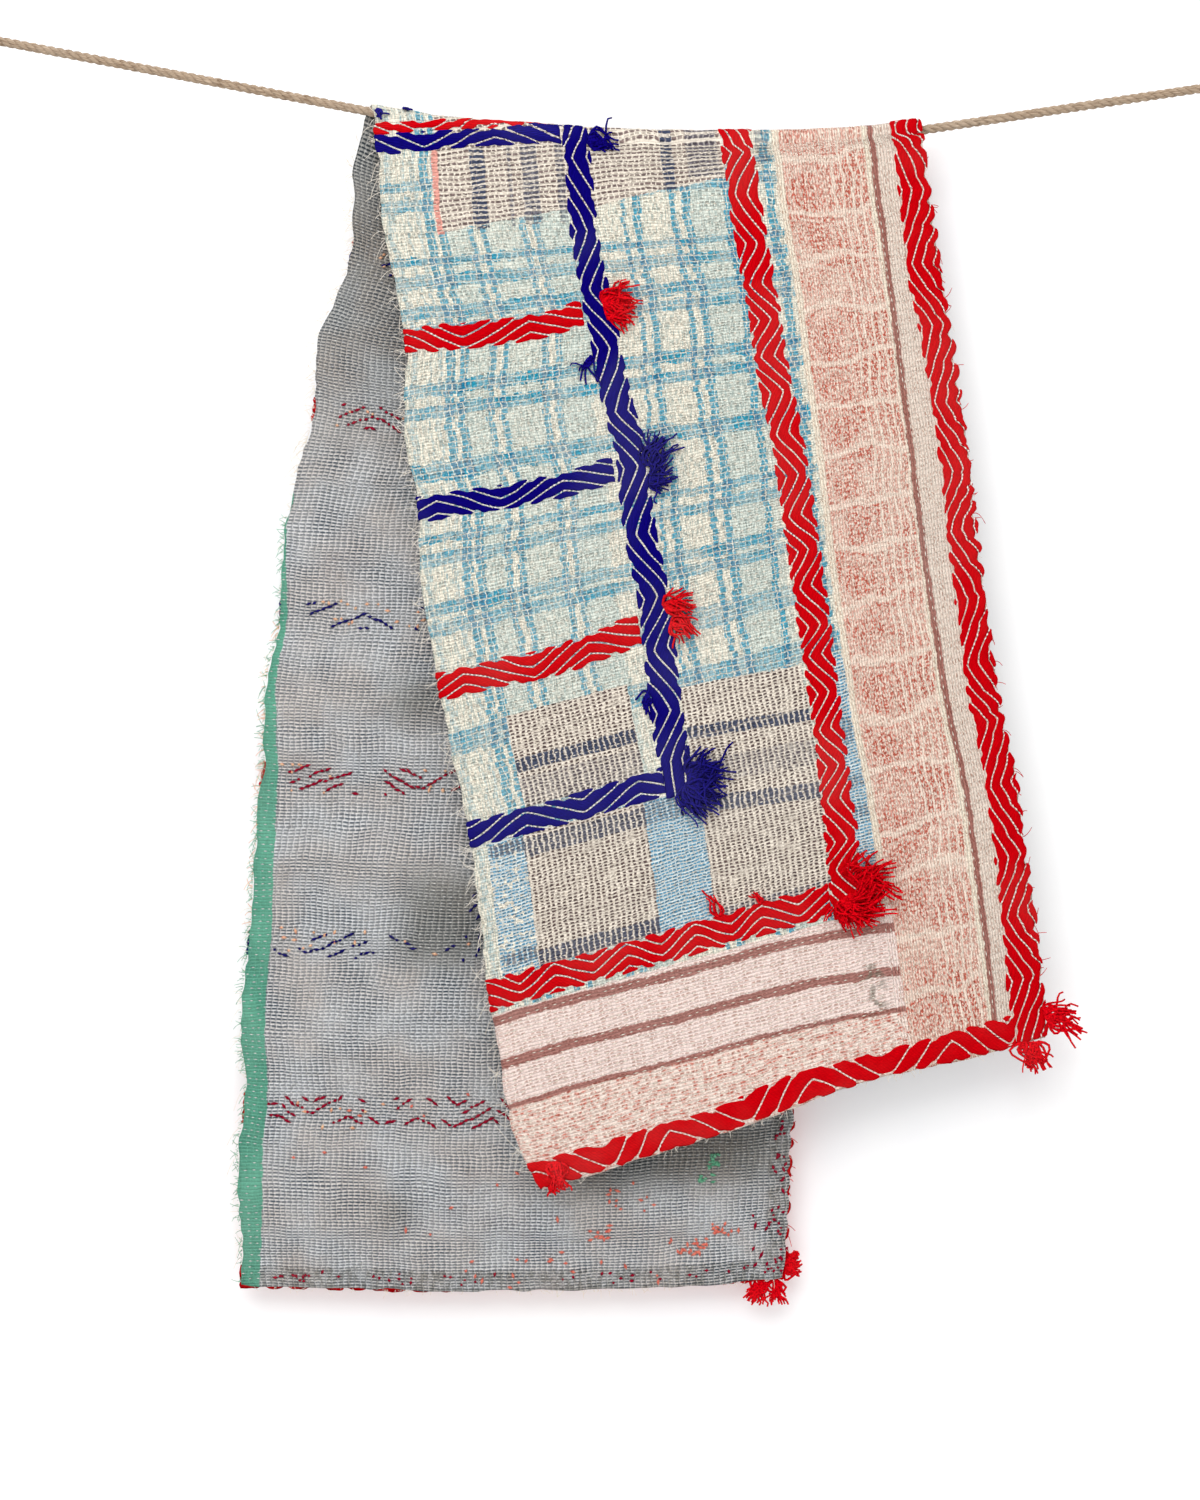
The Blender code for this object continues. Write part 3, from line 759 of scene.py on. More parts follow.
DECORATED_SEED, LINING_SEED = 11, 31
BROAD_PUCKER, FINE_PUCKER, GATHER = 0.0006, 0.0004, 0.0011
GATHER_START, GATHER_FULL = 2.218, 0.014


def pucker(across, pattern, seed):
    """Hills and hollows of the stitched layers, in metres; the back hem is gathered."""
    gathered = smooth((pattern - GATHER_START) / GATHER_FULL)
    return (BROAD_PUCKER * soft_noise(across, pattern, 0.022, seed)
            + FINE_PUCKER * soft_noise(across, pattern, 0.011, seed + 1)
            + GATHER * gathered * soft_noise(across, pattern * 0.3, 0.011, seed + 2))


def side_points(across, pattern, lift=0.0, lining=False):
    """Points on one side of the cloth, lifted off it, with directions over, up and away from it."""
    middle, over, up, out = surface_frame(across, pattern)
    off = CLOTH_THICKNESS / 2 + pucker(across, pattern, LINING_SEED if lining else DECORATED_SEED) + lift
    out = -out if lining else out
    return middle + out * np.reshape(off, (-1, 1)), over, up, out


# %% The quilt as one closed mesh
COLUMNS, ROWS_FRONT, ROWS_FOLD, ROWS_BACK = 96, 184, 10, 204
HEM_BULGE, BULGE_AT, BULGE_HALF = 0.0098, 0.35, 0.10     # the front hem is drawn up in its middle
BULGE_DEPTH = 0.08
RAGGED, HEM_RAGGED, RAGGED_REACH = 0.0013, 0.0007, 0.03
EDGE_TAPER, THIN_EDGE = 0.007, 0.45
ROW_WOBBLE = 0.0016


def hem_bulge(across):
    return HEM_BULGE * np.exp(-((across - BULGE_AT) / BULGE_HALF) ** 2)


def grid_places():
    """Rows and columns of points over the whole cloth, trimmed to its uneven outline."""
    along = np.concatenate([np.linspace(0.0, FRONT_END, ROWS_FRONT, endpoint=False),
                            np.linspace(FRONT_END, BACK_START, ROWS_FOLD, endpoint=False),
                            np.linspace(BACK_START, CLOTH_LENGTH, ROWS_BACK + 1)])
    across, along = np.meshgrid(np.linspace(0.0, CLOTH_WIDTH, COLUMNS + 1), along)
    bulge = hem_bulge(across) + 0.0012 * soft_noise(across, 0.0, 0.013, 3)
    along = along + bulge * np.clip(1.0 - along / BULGE_DEPTH, 0.0, 1.0)
    far = np.clip(1.0 - (CLOTH_LENGTH - along) / BULGE_DEPTH, 0.0, 1.0)
    wavy = 1.6 + soft_noise(across, 0.0, 0.017, 4) + 0.8 * soft_noise(across, 0.0, 0.047, 8)
    along = along - 0.0018 * wavy * far
    cut = RAGGED * (soft_noise(0.0, along, 0.009, 5) + 0.6 * soft_noise(0.0, along, 0.031, 6))
    hem = HEM_RAGGED * soft_noise(0.0, along, 0.012, 7)
    across = across + (cut + RAGGED) * np.clip(1.0 - across / RAGGED_REACH, 0.0, 1.0)
    across = across - (hem + HEM_RAGGED) * np.clip(1.0 - (CLOTH_WIDTH - across) / RAGGED_REACH, 0.0, 1.0)
    return across, along


def quilt_points():
    """Both faces' points, and the U and V of every column and row."""
    across, along = grid_places()
    shape = across.shape
    across, along = across.ravel(), along.ravel()
    pattern = along + thread_shift(across, along)
    middle, _, _, out = frame_at(across, along, pattern)
    from_edge = np.minimum.reduce([across, CLOTH_WIDTH - across, along, CLOTH_LENGTH - along])
    calm = smooth(from_edge / EDGE_TAPER)
    half = CLOTH_THICKNESS / 2 * mix(THIN_EDGE, 1.0, calm)
    front, back = (middle + way * out * (half + pucker(across, pattern, seed) * calm)[:, None]
                   for way, seed in ((1, DECORATED_SEED), (-1, LINING_SEED)))
    return front, back, across, pattern, np.arange(across.size).reshape(shape)


def quads(number):
    """A face for every cell of a grid of numbered points."""
    return np.stack([number[:-1, :-1], number[:-1, 1:], number[1:, 1:], number[1:, :-1]], -1).reshape(-1, 4)


def quilt_faces(number):
    """Quads of the two faces and of the rim between them, with a finish for each."""
    front = quads(number)
    ends = ((number[0, 1:], number[0, :-1]), (number[-1, :-1], number[-1, 1:]),
            (number[:-1, 0], number[1:, 0]), (number[1:, -1], number[:-1, -1]))
    rim = [np.stack([a, b, b + number.size, a + number.size], axis=-1) for a, b in ends]
    faces = np.concatenate([front, front[:, ::-1] + number.size, *rim])
    return faces, np.repeat([0, 1, 2], [len(front), len(front), len(faces) - 2 * len(front)])


def give_maps(mesh, across, pattern):
    """Two UV maps: the cloth's own threads, and the rows of stitches, which wander a little."""
    corner = np.empty(len(mesh.loops), np.int32)
    mesh.loops.foreach_get("vertex_index", corner)
    drift_u = ROW_WOBBLE * soft_noise(across, pattern, 0.035, 21)
    drift_v = ROW_WOBBLE * (soft_noise(across, pattern, 0.030, 22)
                            + 0.4 * soft_noise(across, pattern, 0.013, 23))
    for name, u, v in (("cloth_map", across, pattern), ("stitch_map", across + drift_u, pattern + drift_v)):
        layer = mesh.uv_layers.new(name=name)
        layer.data.foreach_set("uv", np.stack([u, v], axis=1)[corner].ravel())


def sew_quilt():
    faces, finish = quilt_faces(QUILT[4])
    mesh = mesh_of("quilt", np.concatenate(QUILT[:2]), (), faces.tolist())
    give_maps(mesh, np.tile(QUILT[2], 2), np.tile(QUILT[3], 2))
    mesh.polygons.foreach_set("material_index", finish.astype(np.int32))
    mesh.shade_smooth()
    return show("quilt", mesh)


QUILT = quilt_points()
quilt = sew_quilt()

# %% [markdown]
# ## The wool bands
#
# Each band is darned in thick wool, in long slanting runs that turn back at both edges, so that pale
# zigzag lines of cotton stay open between them. The wool stands clear of the cloth, so it is made as
# ribbons with a rounded top: one between every two lines, cut to the band's edges. Where a line
# leaves the band, its ribbon narrows to a leaf's tip.
#
# The zigzags were turned by eye and not by a ruler, so the turning places are a table. The half of
# the cloth that hangs at the back is a mirror image of the front one.

# %% The bands' table
MIRROR_V = 1.131
BACK_OFF = {"navy_double": 0.016, "red_double": 0.016, "red_upper": 0.048, "navy_middle": 0.015,
            "red_lower": 0.022, "red_frame": -0.005}     # how far a back band is off the mirror image

# places: along the band, its middle, its width; turns: where the zigzag turns; first: where it starts,
# -1 or 1; swing: half its height; gap: from line to line; line_at: how far a line's top is off middle
Band = namedtuple("Band", "name wool upright places turns first swing gap line_at")
BAND_TABLE = (
    Band("navy_upright", "navy", True,
         ((338, 219, 34), (400, 220, 33), (450, 223, 33), (500, 225, 32), (550, 227, 32), (600, 223, 32),
          (650, 219, 32), (700, 221, 32), (750, 216, 31), (800, 208, 30), (850, 202, 30), (900, 203, 29),
          (950, 205, 28), (1046, 205, 27), (1131, 206, 27)),
         (373, 421, 482, 536, 606, 678, 738, 807, 872, 933, 1005, 1065, 1131), -1, 17.5, 13, 4),
    Band("red_upright", "red", True,
         ((172, 370, 35), (250, 372, 34), (300, 374, 33), (350, 378, 31), (400, 380, 32), (450, 381, 33),
          (550, 381, 33), (600, 380, 33), (700, 376, 33), (800, 371, 33), (850, 369, 33), (950, 370, 33),
          (1000, 368, 33), (1131, 367, 33)),
         (185, 221, 249, 293, 327, 365, 399, 437, 465, 506, 547, 590, 637, 686, 733, 775, 817, 858,
          906, 956, 1002, 1045, 1088, 1131), 1, 13.5, 12.2, 5.5),
    Band("hemmed_edge", "red", True,
         ((2, 539, 34), (50, 536.5, 39), (100, 537.5, 37), (200, 539, 34), (300, 539.5, 33), (500, 540, 32),
          (700, 540.5, 31), (850, 537.5, 36), (950, 539, 33), (1131, 541, 29)),
         (4, 65, 127, 186, 261, 330, 389, 452, 526, 603, 693, 785, 862, 950, 1030, 1085, 1131),
         -1, 16.5, 11.5, -2),
    Band("navy_double", "navy", False, ((0, 1030.5, 17), (150, 1030.5, 17), (190, 1033, 24)),
         (-15, 50, 123, 190), 1, 14, 11.5, 0),
    Band("red_double", "red", False, ((0, 1043.5, 10), (188, 1044.5, 10)),
         (-15, 50, 123, 190), 1, 14, 11.5, -1.5),
    Band("red_upper", "red", False,
         ((0, 840.5, 22), (40, 839, 26), (100, 837.5, 26), (150, 840, 26), (185, 848.5, 27)),
         (3, 61, 130, 200), 1, 15, 11.2, 6),
    Band("navy_middle", "navy", False, ((0, 673, 24), (100, 670.5, 25), (150, 672, 25), (200, 679, 30)),
         (-45, 20, 85, 149, 215), -1, 14, 11, 5),
    Band("red_lower", "red", False,
         ((0, 501.5, 27), (50, 500.5, 27), (110, 497.5, 29), (150, 499, 29), (185, 504, 32),
          (208, 508.5, 34)),
         (-40, 27, 97, 155, 215), -1, 15, 11.2, 7.2),
    Band("navy_bottom", "navy", False, ((0, 353.5, 25), (100, 352.5, 26), (206, 355, 28)),
         (3, 61, 121, 180, 240), -1, 13.5, 12.5, 8),
    Band("red_frame", "red", False,
         ((0, 191.5, 31), (150, 191.5, 30), (250, 192.5, 32), (353, 193, 34)),
         (0, 34, 70, 109, 145, 180, 215, 252, 284, 321, 360, 400), 1, 10, 11.2, 2),
    Band("hem", "red", False,
         ((0, 14, 27), (150, 14, 26), (200, 14.5, 26), (250, 20, 31), (300, 23.5, 30), (350, 23.5, 26),
          (400, 21.5, 27), (450, 18.5, 29), (520, 16.5, 32)),
         (5, 79, 150, 232, 306, 381, 454, 514, 560), 1, 34, 24, 5.5),
)


def in_metres(band):
    return band._replace(places=np.array(band.places) / 1000, turns=np.array(band.turns) / 1000,
                         swing=band.swing / 1000, gap=band.gap / 1000, line_at=band.line_at / 1000)


def mirrored(band):
    """The same band on the half that hangs at the back; an upright one simply goes on there."""
    places = band.places.copy()
    if not band.upright:
        places[:, 1] = 2 * MIRROR_V - places[:, 1] - BACK_OFF.get(band.name, 0.0)
        return band._replace(name=band.name + "_back", places=places)
    places = places[-2::-1]
    places[:, 0] = 2 * MIRROR_V - places[:, 0]
    return band._replace(places=np.concatenate([band.places, places]),
                         turns=np.concatenate([band.turns, 2 * MIRROR_V - band.turns[-2::-1]]))


BANDS = []
for band in map(in_metres, BAND_TABLE):
    BANDS += [mirrored(band)] if band.upright else [band, mirrored(band)]
print(len(BANDS), "bands,", round(sum(b.places[-1][0] - b.places[0][0] for b in BANDS), 2), "m of them")

# %% A band's edges and its zigzag lines
EDGE_WAVER, NOTCH = 0.0011, 0.0030
LINE_WAVER, TURN_ROUNDING = 0.0014, 0.30


def zigzag(band, along):
    """From -1 to 1 and back between the turning places, with slightly rounded turns."""
    sharp = np.interp(along, band.turns, band.first * (-1.0) ** np.arange(len(band.turns)))
    return mix(sharp, np.sin(sharp * math.pi / 2), TURN_ROUNDING)


def notches(band, along, level):
    """How far each cotton line draws the band's edge in where it leaves the band."""
    phase = (level - band.line_at - band.swing * (zigzag(band, along) - 1.0)) / band.gap
    return NOTCH * np.cos(phase * math.pi) ** 6


def middle_and_half(band, along):
    places = band.places
    return np.interp(along, places[:, 0], places[:, 1]), np.interp(along, places[:, 0], places[:, 2]) / 2


def band_edges(band, along):
    """The lower and upper edge of a band, and the middle between them."""
    middle, half = middle_and_half(band, along)
    half = half + NOTCH / 4
    seed = 40 + len(band.name)
    low, high = (middle + way * (half - notches(band, along, way * half))
                 + EDGE_WAVER * soft_noise(along, middle, 0.006, seed + (way > 0)) for way in (-1, 1))
    return low, high, middle


def line_place(band, number, along, middle):
    """Where one zigzag line runs."""
    waver = LINE_WAVER * soft_noise(along, number * 0.05 + middle, 0.017, 60)
    return middle + band.line_at + number * band.gap + band.swing * (zigzag(band, along) - 1.0) + waver


def line_numbers(band):
    """All the lines that may cross the band."""
    half = band.places[:, 2].max() / 2
    lowest = math.floor((-half - band.line_at) / band.gap) - 1
    highest = math.ceil((half - band.line_at + 2 * band.swing) / band.gap) + 1
    return range(lowest, highest + 1)


# %% Ribbons of wool
RIBBON_STEP, RIBBON_HEIGHT, RIBBON_SINK = 0.0025, 0.0014, 0.0006
LINE_GAP = 0.0006               # bare cloth between two ribbons, where the cotton line lies
NARROWEST, CORNER_ROUNDING = 0.0009, 0.0048
SECTION_SHARES = np.array((0.0, 0.14, 0.5, 0.86, 1.0))
SECTION_HEIGHTS = np.array((0.0, 0.75, 1.0, 0.75, 0.0))


def soft_least(first, second):
    """The lesser of two, with a rounded change-over."""
    share = np.clip(0.5 + 0.5 * (second - first) / CORNER_ROUNDING, 0.0, 1.0)
    return mix(second, first, share) - CORNER_ROUNDING * share * (1.0 - share)


def ribbon_runs(band):
    """Stretches of ribbon: for each, the places along and the two sides."""
    along = np.arange(band.places[0][0], band.places[-1][0] + RIBBON_STEP / 2, RIBBON_STEP)
    low, high, middle = band_edges(band, along)
    for number in line_numbers(band):
        under = line_place(band, number, along, middle) + LINE_GAP / 2
        over = line_place(band, number + 1, along, middle) - LINE_GAP / 2
        bottom, top = -soft_least(-under, -low), soft_least(over, high)
        wide = top - bottom > NARROWEST
        steps = np.flatnonzero(np.diff(np.concatenate([[0], wide.astype(int), [0]])))
        for first, last in zip(steps[::2], steps[1::2]):
            if last - first > 2:
                yield along[first:last], bottom[first:last], top[first:last]


def ribbon(along, bottom, top, start):
    """One ribbon's points as (along, beside, lift), numbered from start, and its faces."""
    width, count = (top - bottom)[:, None], len(SECTION_SHARES)
    beside = bottom[:, None] + width * SECTION_SHARES
    height = np.minimum(RIBBON_HEIGHT, 0.0003 + 0.17 * width)
    lift = height * SECTION_HEIGHTS - RIBBON_SINK * (SECTION_HEIGHTS == 0)
    rings = np.stack([np.repeat(along[:, None], count, axis=1), beside, lift], axis=-1)
    tips = [[along[end] + RIBBON_STEP * off, (bottom[end] + top[end]) / 2, -RIBBON_SINK]
            for end, off in ((0, -0.5), (-1, 0.5))]
    number = start + np.arange(len(along) * count).reshape(-1, count)
    around = np.concatenate([number, number[:, :1]], axis=1).T
    near, far = number[-1, -1] + 1, number[-1, -1] + 2
    caps = [face for a, b in zip(around, around[1:]) for face in ((near, a[0], b[0]), (far, b[-1], a[-1]))]
    return np.concatenate([rings.reshape(-1, 3), tips]), quads(around).tolist() + caps


def band_piece(name, wool):
    """All the ribbons of one wool as one piece."""
    points, fibres, faces, start = [], [], [], 0
    for band in (band for band in BANDS if band.wool == wool):
        for run in ribbon_runs(band):
            spots, around = ribbon(*run, start)
            start += len(spots)
            u, v = (1, 0) if band.upright else (0, 1)
            points.append(spots[:, [u, v, 2]])
            fibres.append(spots[:, :2])
            faces += around if band.upright else [face[::-1] for face in around]
    u, v, lift = np.concatenate(points).T
    along, across = np.concatenate(fibres).T
    mesh = mesh_of(name, side_points(u, v, lift)[0], (), faces)
    mark(mesh, "wool_along", along)
    mark(mesh, "wool_across", across)
    mesh.shade_smooth()
    return show(name, mesh)


red_bands, navy_bands = band_piece("red_bands", "red"), band_piece("navy_bands", "navy")

# %% [markdown]
# ## The stitches
#
# A kantha is held together by running stitches: thousands of short dashes of cotton, row beside row,
# which pull the layers into little puckers. Drawn only as a bump they would vanish at the edges of
# the cloth, so each one is a real grain of thread. A grain has six or eight faces, because there are
# so many of them.
#
# Two trees place them. The first takes ready points, for the lines between the wool ribbons and for
# the loose darning. The second one reads the cloth's stitch map, so its rows follow every fold.

# %% Cotton thread materials


def make_cotton(name, light, dark, fading=0.3):
    """Spun cotton: two shades along the grain, and a little dust."""
    made, shader = new_material(name, 0.85, 0.05)
    spun = blend(between(noise(object_place(), 420.0), 0.35, 0.65), colour(*dark), colour(*light))
    dress(shader, handled(spun, object_place(), fading, 0.4), noise(object_place(), 1600.0), 0.0003)
    return made


CREAM_THREAD = make_cotton("cream_thread", (250, 244, 232), (236, 224, 208))
GREY_THREAD = make_cotton("grey_thread", (240, 238, 234), (198, 198, 202))
WHITE_THREAD = make_cotton("white_thread", (254, 248, 242), (242, 226, 218), 0.0)

# %% Tree: grains of thread on ready points


def place_grains(points, sides, wide, thick):
    """A grain on every point, lying along its run with its flat side out."""
    grain = node("GeometryNodeMeshUVSphere", {"Segments": sides, "Rings": 2, "Radius": 0.5})
    turn = node("FunctionNodeAxesToRotation", {"Primary Axis": stored("run", "FLOAT_VECTOR"),
                                               "Secondary Axis": stored("out", "FLOAT_VECTOR")},
                primary_axis="Z", secondary_axis="X")
    return node("GeometryNodeInstanceOnPoints", {"Points": points, "Instance": grain, "Rotation": turn,
                                                 "Scale": point(thick, wide, stored("long"))})


@shape_tree(wide=0.0015, thick=0.0010)
def laid_grains(base, wide, thick):
    """Grains on a mesh's points; each point keeps its own run, out, long and plump."""
    points = node("GeometryNodeMeshToPoints", {"Mesh": base})
    return place_grains(points, 4, wide * stored("plump"), thick * stored("plump"))


def lay_grains(name, u, v, turned, lift, long, plump, finish, wide, thick, lining=False):
    """Grains of thread on one side of the cloth, each with its own turn, length and plumpness."""
    points, over, up, out = side_points(u, v, lift, lining)
    run = over * np.cos(turned)[:, None] + up * np.sin(turned)[:, None]
    base = mesh_of(name, points)
    for label, values in (("run", run), ("out", out), ("long", long), ("plump", plump)):
        mark(base, label, values)
    return grow(name, base, laid_grains, wide=wide, thick=thick, finish=finish)


# %% Cream lines between the ribbons
LINE_PITCH, LINE_WIDE, LINE_GRAIN_LONG = 0.0044, 0.0014, 0.0046
LINE_STEP, LINE_LIFT, LINE_TILT = 0.0005, 0.0011, 0.20
LINE_PLUMP = 0.016              # how far it is from a thick part of a line to a thin one


def line_spots(band, pitch, shift, margin):
    """Evenly stepped places on each zigzag line: its number; then along, beside, slope and middle."""
    along = np.arange(band.places[0][0], band.places[-1][0], LINE_STEP)
    low, high, middle = band_edges(band, along)
    for number in line_numbers(band):
        line = line_place(band, number, along, middle)
        slope = np.gradient(line, LINE_STEP)
        reach = np.cumsum(np.hypot(1.0, slope)) * LINE_STEP / pitch + number * shift
        here = np.flatnonzero(np.diff(np.floor(reach)) > 0)
        here = here[(line[here] > low[here] + margin) & (line[here] < high[here] - margin)]
        yield number, np.stack([along[here], line[here], slope[here], middle[here]])


def on_cloth(band, along, line, tilt):
    """U, V and turn of stitches that are given along and beside a band, with their tilt from it."""
    return (line, along, math.pi / 2 - tilt) if band.upright else (along, line, tilt)


def line_grains(band, chance):
    """Stitches along the band's zigzag lines: along, beside, slope and plumpness of each."""
    for number, spots in line_spots(band, LINE_PITCH, 0.37, 0.0006):
        along, line, slope, middle = spots
        strength = 0.5 + 0.5 * soft_noise(along, number * 0.07 + middle, LINE_PLUMP, 61)
        kept = chance.random(len(along)) > np.clip(0.62 - 1.5 * strength, 0.03, 0.60)
        plump = mix(0.50, 1.35, strength) * chance.uniform(0.85, 1.15, len(along))
        yield np.stack([along, line, slope, plump])[:, kept]


def band_lines_piece():
    chance = np.random.default_rng(8)
    found = []
    for band in BANDS:
        along, line, slope, plump = np.concatenate(list(line_grains(band, chance)), axis=1)
        tilt = np.arctan(slope) + chance.normal(0.0, LINE_TILT, len(along))
        found.append((*on_cloth(band, along, line, tilt), plump))
    *places, plump = np.concatenate(found, axis=1)
    long = LINE_GRAIN_LONG * chance.uniform(0.75, 1.15, len(plump))
    return lay_grains("band_lines", *places, LINE_LIFT, long, plump, WHITE_THREAD, LINE_WIDE, LINE_WIDE)


band_lines = band_lines_piece()

# %% Tree: rows of running stitches on the cloth


@shape_tree(rows=10, in_a_row=10, start_u=0.0, start_v=0.0, row_pitch=0.006, repeat=0.009, length=0.006,
            upright=0.0, skip=0.08, seed=1, wide=0.0015, thick=0.0012, lift=0.0002)
def stitch_rows(base, rows, in_a_row, start_u, start_v, row_pitch, repeat, length, upright, skip, seed,
                wide, thick, lift):
    """Rows of stitches at even places of the stitch map, lifted onto the cloth's surface."""
    def chance(low, high, number, step):
        return node("FunctionNodeRandomValue", {"Min": low, "Max": high, "ID": number, "Seed": seed + step},
                    "Value")

    def sampled(value, where, kind="FLOAT_VECTOR"):
        return node("GeometryNodeSampleUVSurface",
                    {"Mesh": base, "Value": value, "UV Map": stored("stitch_map", "FLOAT_VECTOR"),
                     "Sample UV": where}, ("Value", "Is Valid"), data_type=kind)

    kept = node("GeometryNodePoints", {"Count": rows * in_a_row})
    number = node("GeometryNodeInputIndex")
    row = calc("FLOOR", (number + 0.5) / in_a_row)
    spot = number - row * in_a_row
    along_row = (spot + chance(-0.22, 0.22, row, 1) + chance(-0.10, 0.10, number, 2)) * repeat
    beside = (row + chance(-0.07, 0.07, number, 3)) * row_pitch
    u, v = start_u + fade(upright, along_row, beside), start_v + fade(upright, beside, along_row)
    sideways, upwards = (1.0 - upright) * 0.002, upright * 0.002
    surface = node("GeometryNodeInputPosition")
    here = point(u, v)
    middle, _ = sampled(surface, here)
    out, _ = sampled(node("GeometryNodeInputNormal"), here)
    bare, _ = sampled(stored("bare"), here, "FLOAT")
    front, front_found = sampled(surface, point(u + sideways, v + upwards))
    rear, rear_found = sampled(surface, point(u - sideways, v - upwards))
    kept = store(kept, "run", vector_calc("SUBTRACT", front, rear), "FLOAT_VECTOR")
    kept = store(kept, "out", out, "FLOAT_VECTOR")
    kept = store(kept, "long", length * chance(0.7, 1.15, number, 5))
    wanted = front_found * rear_found * calc("GREATER_THAN", bare, 0.5)
    wanted = wanted * calc("GREATER_THAN", chance(0.0, 1.0, number, 4), skip)
    lifted = vector_calc("ADD", middle, vector_calc("SCALE", out, lift))
    kept = node("GeometryNodeSetPosition", {"Geometry": kept, "Position": lifted})
    kept = node("GeometryNodeDeleteGeometry", {"Geometry": kept, "Selection": 1.0 - wanted})
    return place_grains(kept, 3, wide, thick)


# %% The cloth's two sides, as a ground for the rows
BARE_MARGIN = 0.0015


def bare_cloth(across, pattern):
    """1 where the cloth is bare of wool, 0 under the bands."""
    bare = np.ones(len(across))
    for band in BANDS:
        along, beside = (pattern, across) if band.upright else (across, pattern)
        middle, half = middle_and_half(band, along)
        bare[(np.abs(beside - middle) < half + BARE_MARGIN)
             & (along > band.places[0, 0]) & (along < band.places[-1, 0])] = 0.0
    return bare


def side_ground(name, lining):
    """One side of the cloth alone, with its stitch map, to lay rows on."""
    faces = quads(QUILT[4])
    mesh = mesh_of(name, QUILT[1 if lining else 0], (), (faces[:, ::-1] if lining else faces).tolist())
    give_maps(mesh, QUILT[2], QUILT[3])
    mark(mesh, "bare", np.ones(len(QUILT[2])) if lining else bare_cloth(QUILT[2], QUILT[3]))
    return mesh


# %% Rows of running stitches
ROW_PITCH, STITCH_REPEAT = 0.0033, 0.0057
RAISED_PITCH = 2 * ROW_PITCH    # only every second row is raised thread; the materials show them all
# seed: for the front half, and the back half takes the next one; halves: from and to along
Field = namedtuple("Field", "name seed upright row_pitch repeat length left right halves")
FIELDS = (
    Field("frame", 10, False, RAISED_PITCH, 0.0078, 0.0056, 0.003, 0.412, ((0.176, 1.130), (1.134, 2.086))),
    Field("border", 12, True, 0.0057, 0.0095, 0.0062, 0.404, 0.525, ((0.034, 1.130), (1.134, 2.230))),
    Field("foot", 14, False, RAISED_PITCH, 0.0088, 0.0060, 0.003, 0.402, ((0.028, 0.174), (2.090, 2.234))),
    Field("lining", 30, False, RAISED_PITCH, 0.0080, 0.0042, 0.003, 0.552, ((0.006, 1.100), (1.106, 2.258))),
)


def sew_rows(field, half):
    """One half of a field of rows, as its own piece."""
    name = field.name + ("_front", "_back")[half]
    low, high = field.halves[half]
    wide, tall, lining = field.right - field.left, high - low, field.name == "lining"
    along_rows, beside_rows = (tall, wide) if field.upright else (wide, tall)
    return grow("stitches_" + name, side_ground(name, lining), stitch_rows,
                rows=int(beside_rows / field.row_pitch), in_a_row=int(along_rows / field.repeat),
                start_u=field.left, start_v=math.ceil(low / field.row_pitch) * field.row_pitch,
                row_pitch=field.row_pitch, repeat=field.repeat, length=field.length,
                upright=float(field.upright), seed=field.seed + half,
                finish=GREY_THREAD if lining else CREAM_THREAD)


rows = [sew_rows(field, half) for field in FIELDS for half in (0, 1)]

# %% [markdown]
# ## The patchwork's colours
#
# The decorated side is pieced from several old cloths: a blue and cream plaid, beige checks with grey
# bars, a plain light blue, a red block print with a brown stripe, and a striped foot. A painter would
# paint them on an image. Here they are drawn with masks on the cloth's own map instead, each one a
# patch with slightly ragged edges, so the drawing has no size limit and can be changed in the table.
#
# Three groups do the drawing: one cuts a patch, one lays a grid of dashes, and one gives the weave.

# %% Group: a ragged patch


@shader_group({"inside": FLOAT}, place=VECTOR, left=0.0, right=1.0, low=0.0, high=1.0, lean=0.0,
              softness=0.0006)
def ragged_patch(where, left, right, low, high, lean, softness):
    """1 inside a patch with the given edges. Lean raises the patch's ends along its width."""
    u, v, _ = parts_of(where)
    risen = v - (u - left) * lean

    def past(value, edge):
        return between(value - edge, softness * -1.0, softness)

    across = past(u, left) * (1.0 - past(u, right))
    return across * (past(risen, low) * (1.0 - past(risen, high)))


# %% Group: a grid of dashes
@shader_group({"dash": FLOAT}, place=VECTOR, repeat_u=0.005, repeat_v=0.003, share_u=0.6, share_v=0.5,
              shift=0.1, softness=0.15)
def dash_grid(where, repeat_u, repeat_v, share_u, share_v, shift, softness):
    """Dashes in rows, on a map in metres. Every row starts a little differently."""
    u, v, _ = parts_of(where)
    row = v / repeat_v
    column = u / repeat_u + chance_of(calc("FLOOR", row)) * shift

    def hump(value, share):
        away = abs(calc("FRACT", value) - 0.5) * 2.0
        return 1.0 - between(away, share - softness, share + softness)

    return hump(row, share_v) * hump(column, share_u)


# %% Group: a hand-loomed weave
@shader_group({"height": FLOAT}, place=VECTOR, thread=0.0012)
def loom_weave(where, thread):
    """Coarse cotton threads both ways, as a height for the bump."""
    u, v, _ = parts_of(where)
    checks = calc("SINE", u / thread * math.pi) * calc("SINE", v / thread * math.pi)
    warp, weft = noise(point(u * 9.0, v), 90.0), noise(point(u, v * 9.0), 90.0)
    return checks * 0.5 + 0.5 + between((warp + weft) * 0.5, 0.36, 0.64) * 0.8


# %% Reading the map
Maps = namedtuple("Maps", "cloth stitch u v u_cut v_cut cut wavy turned")


def uv_map(name):
    return node("ShaderNodeUVMap", uv_map=name)


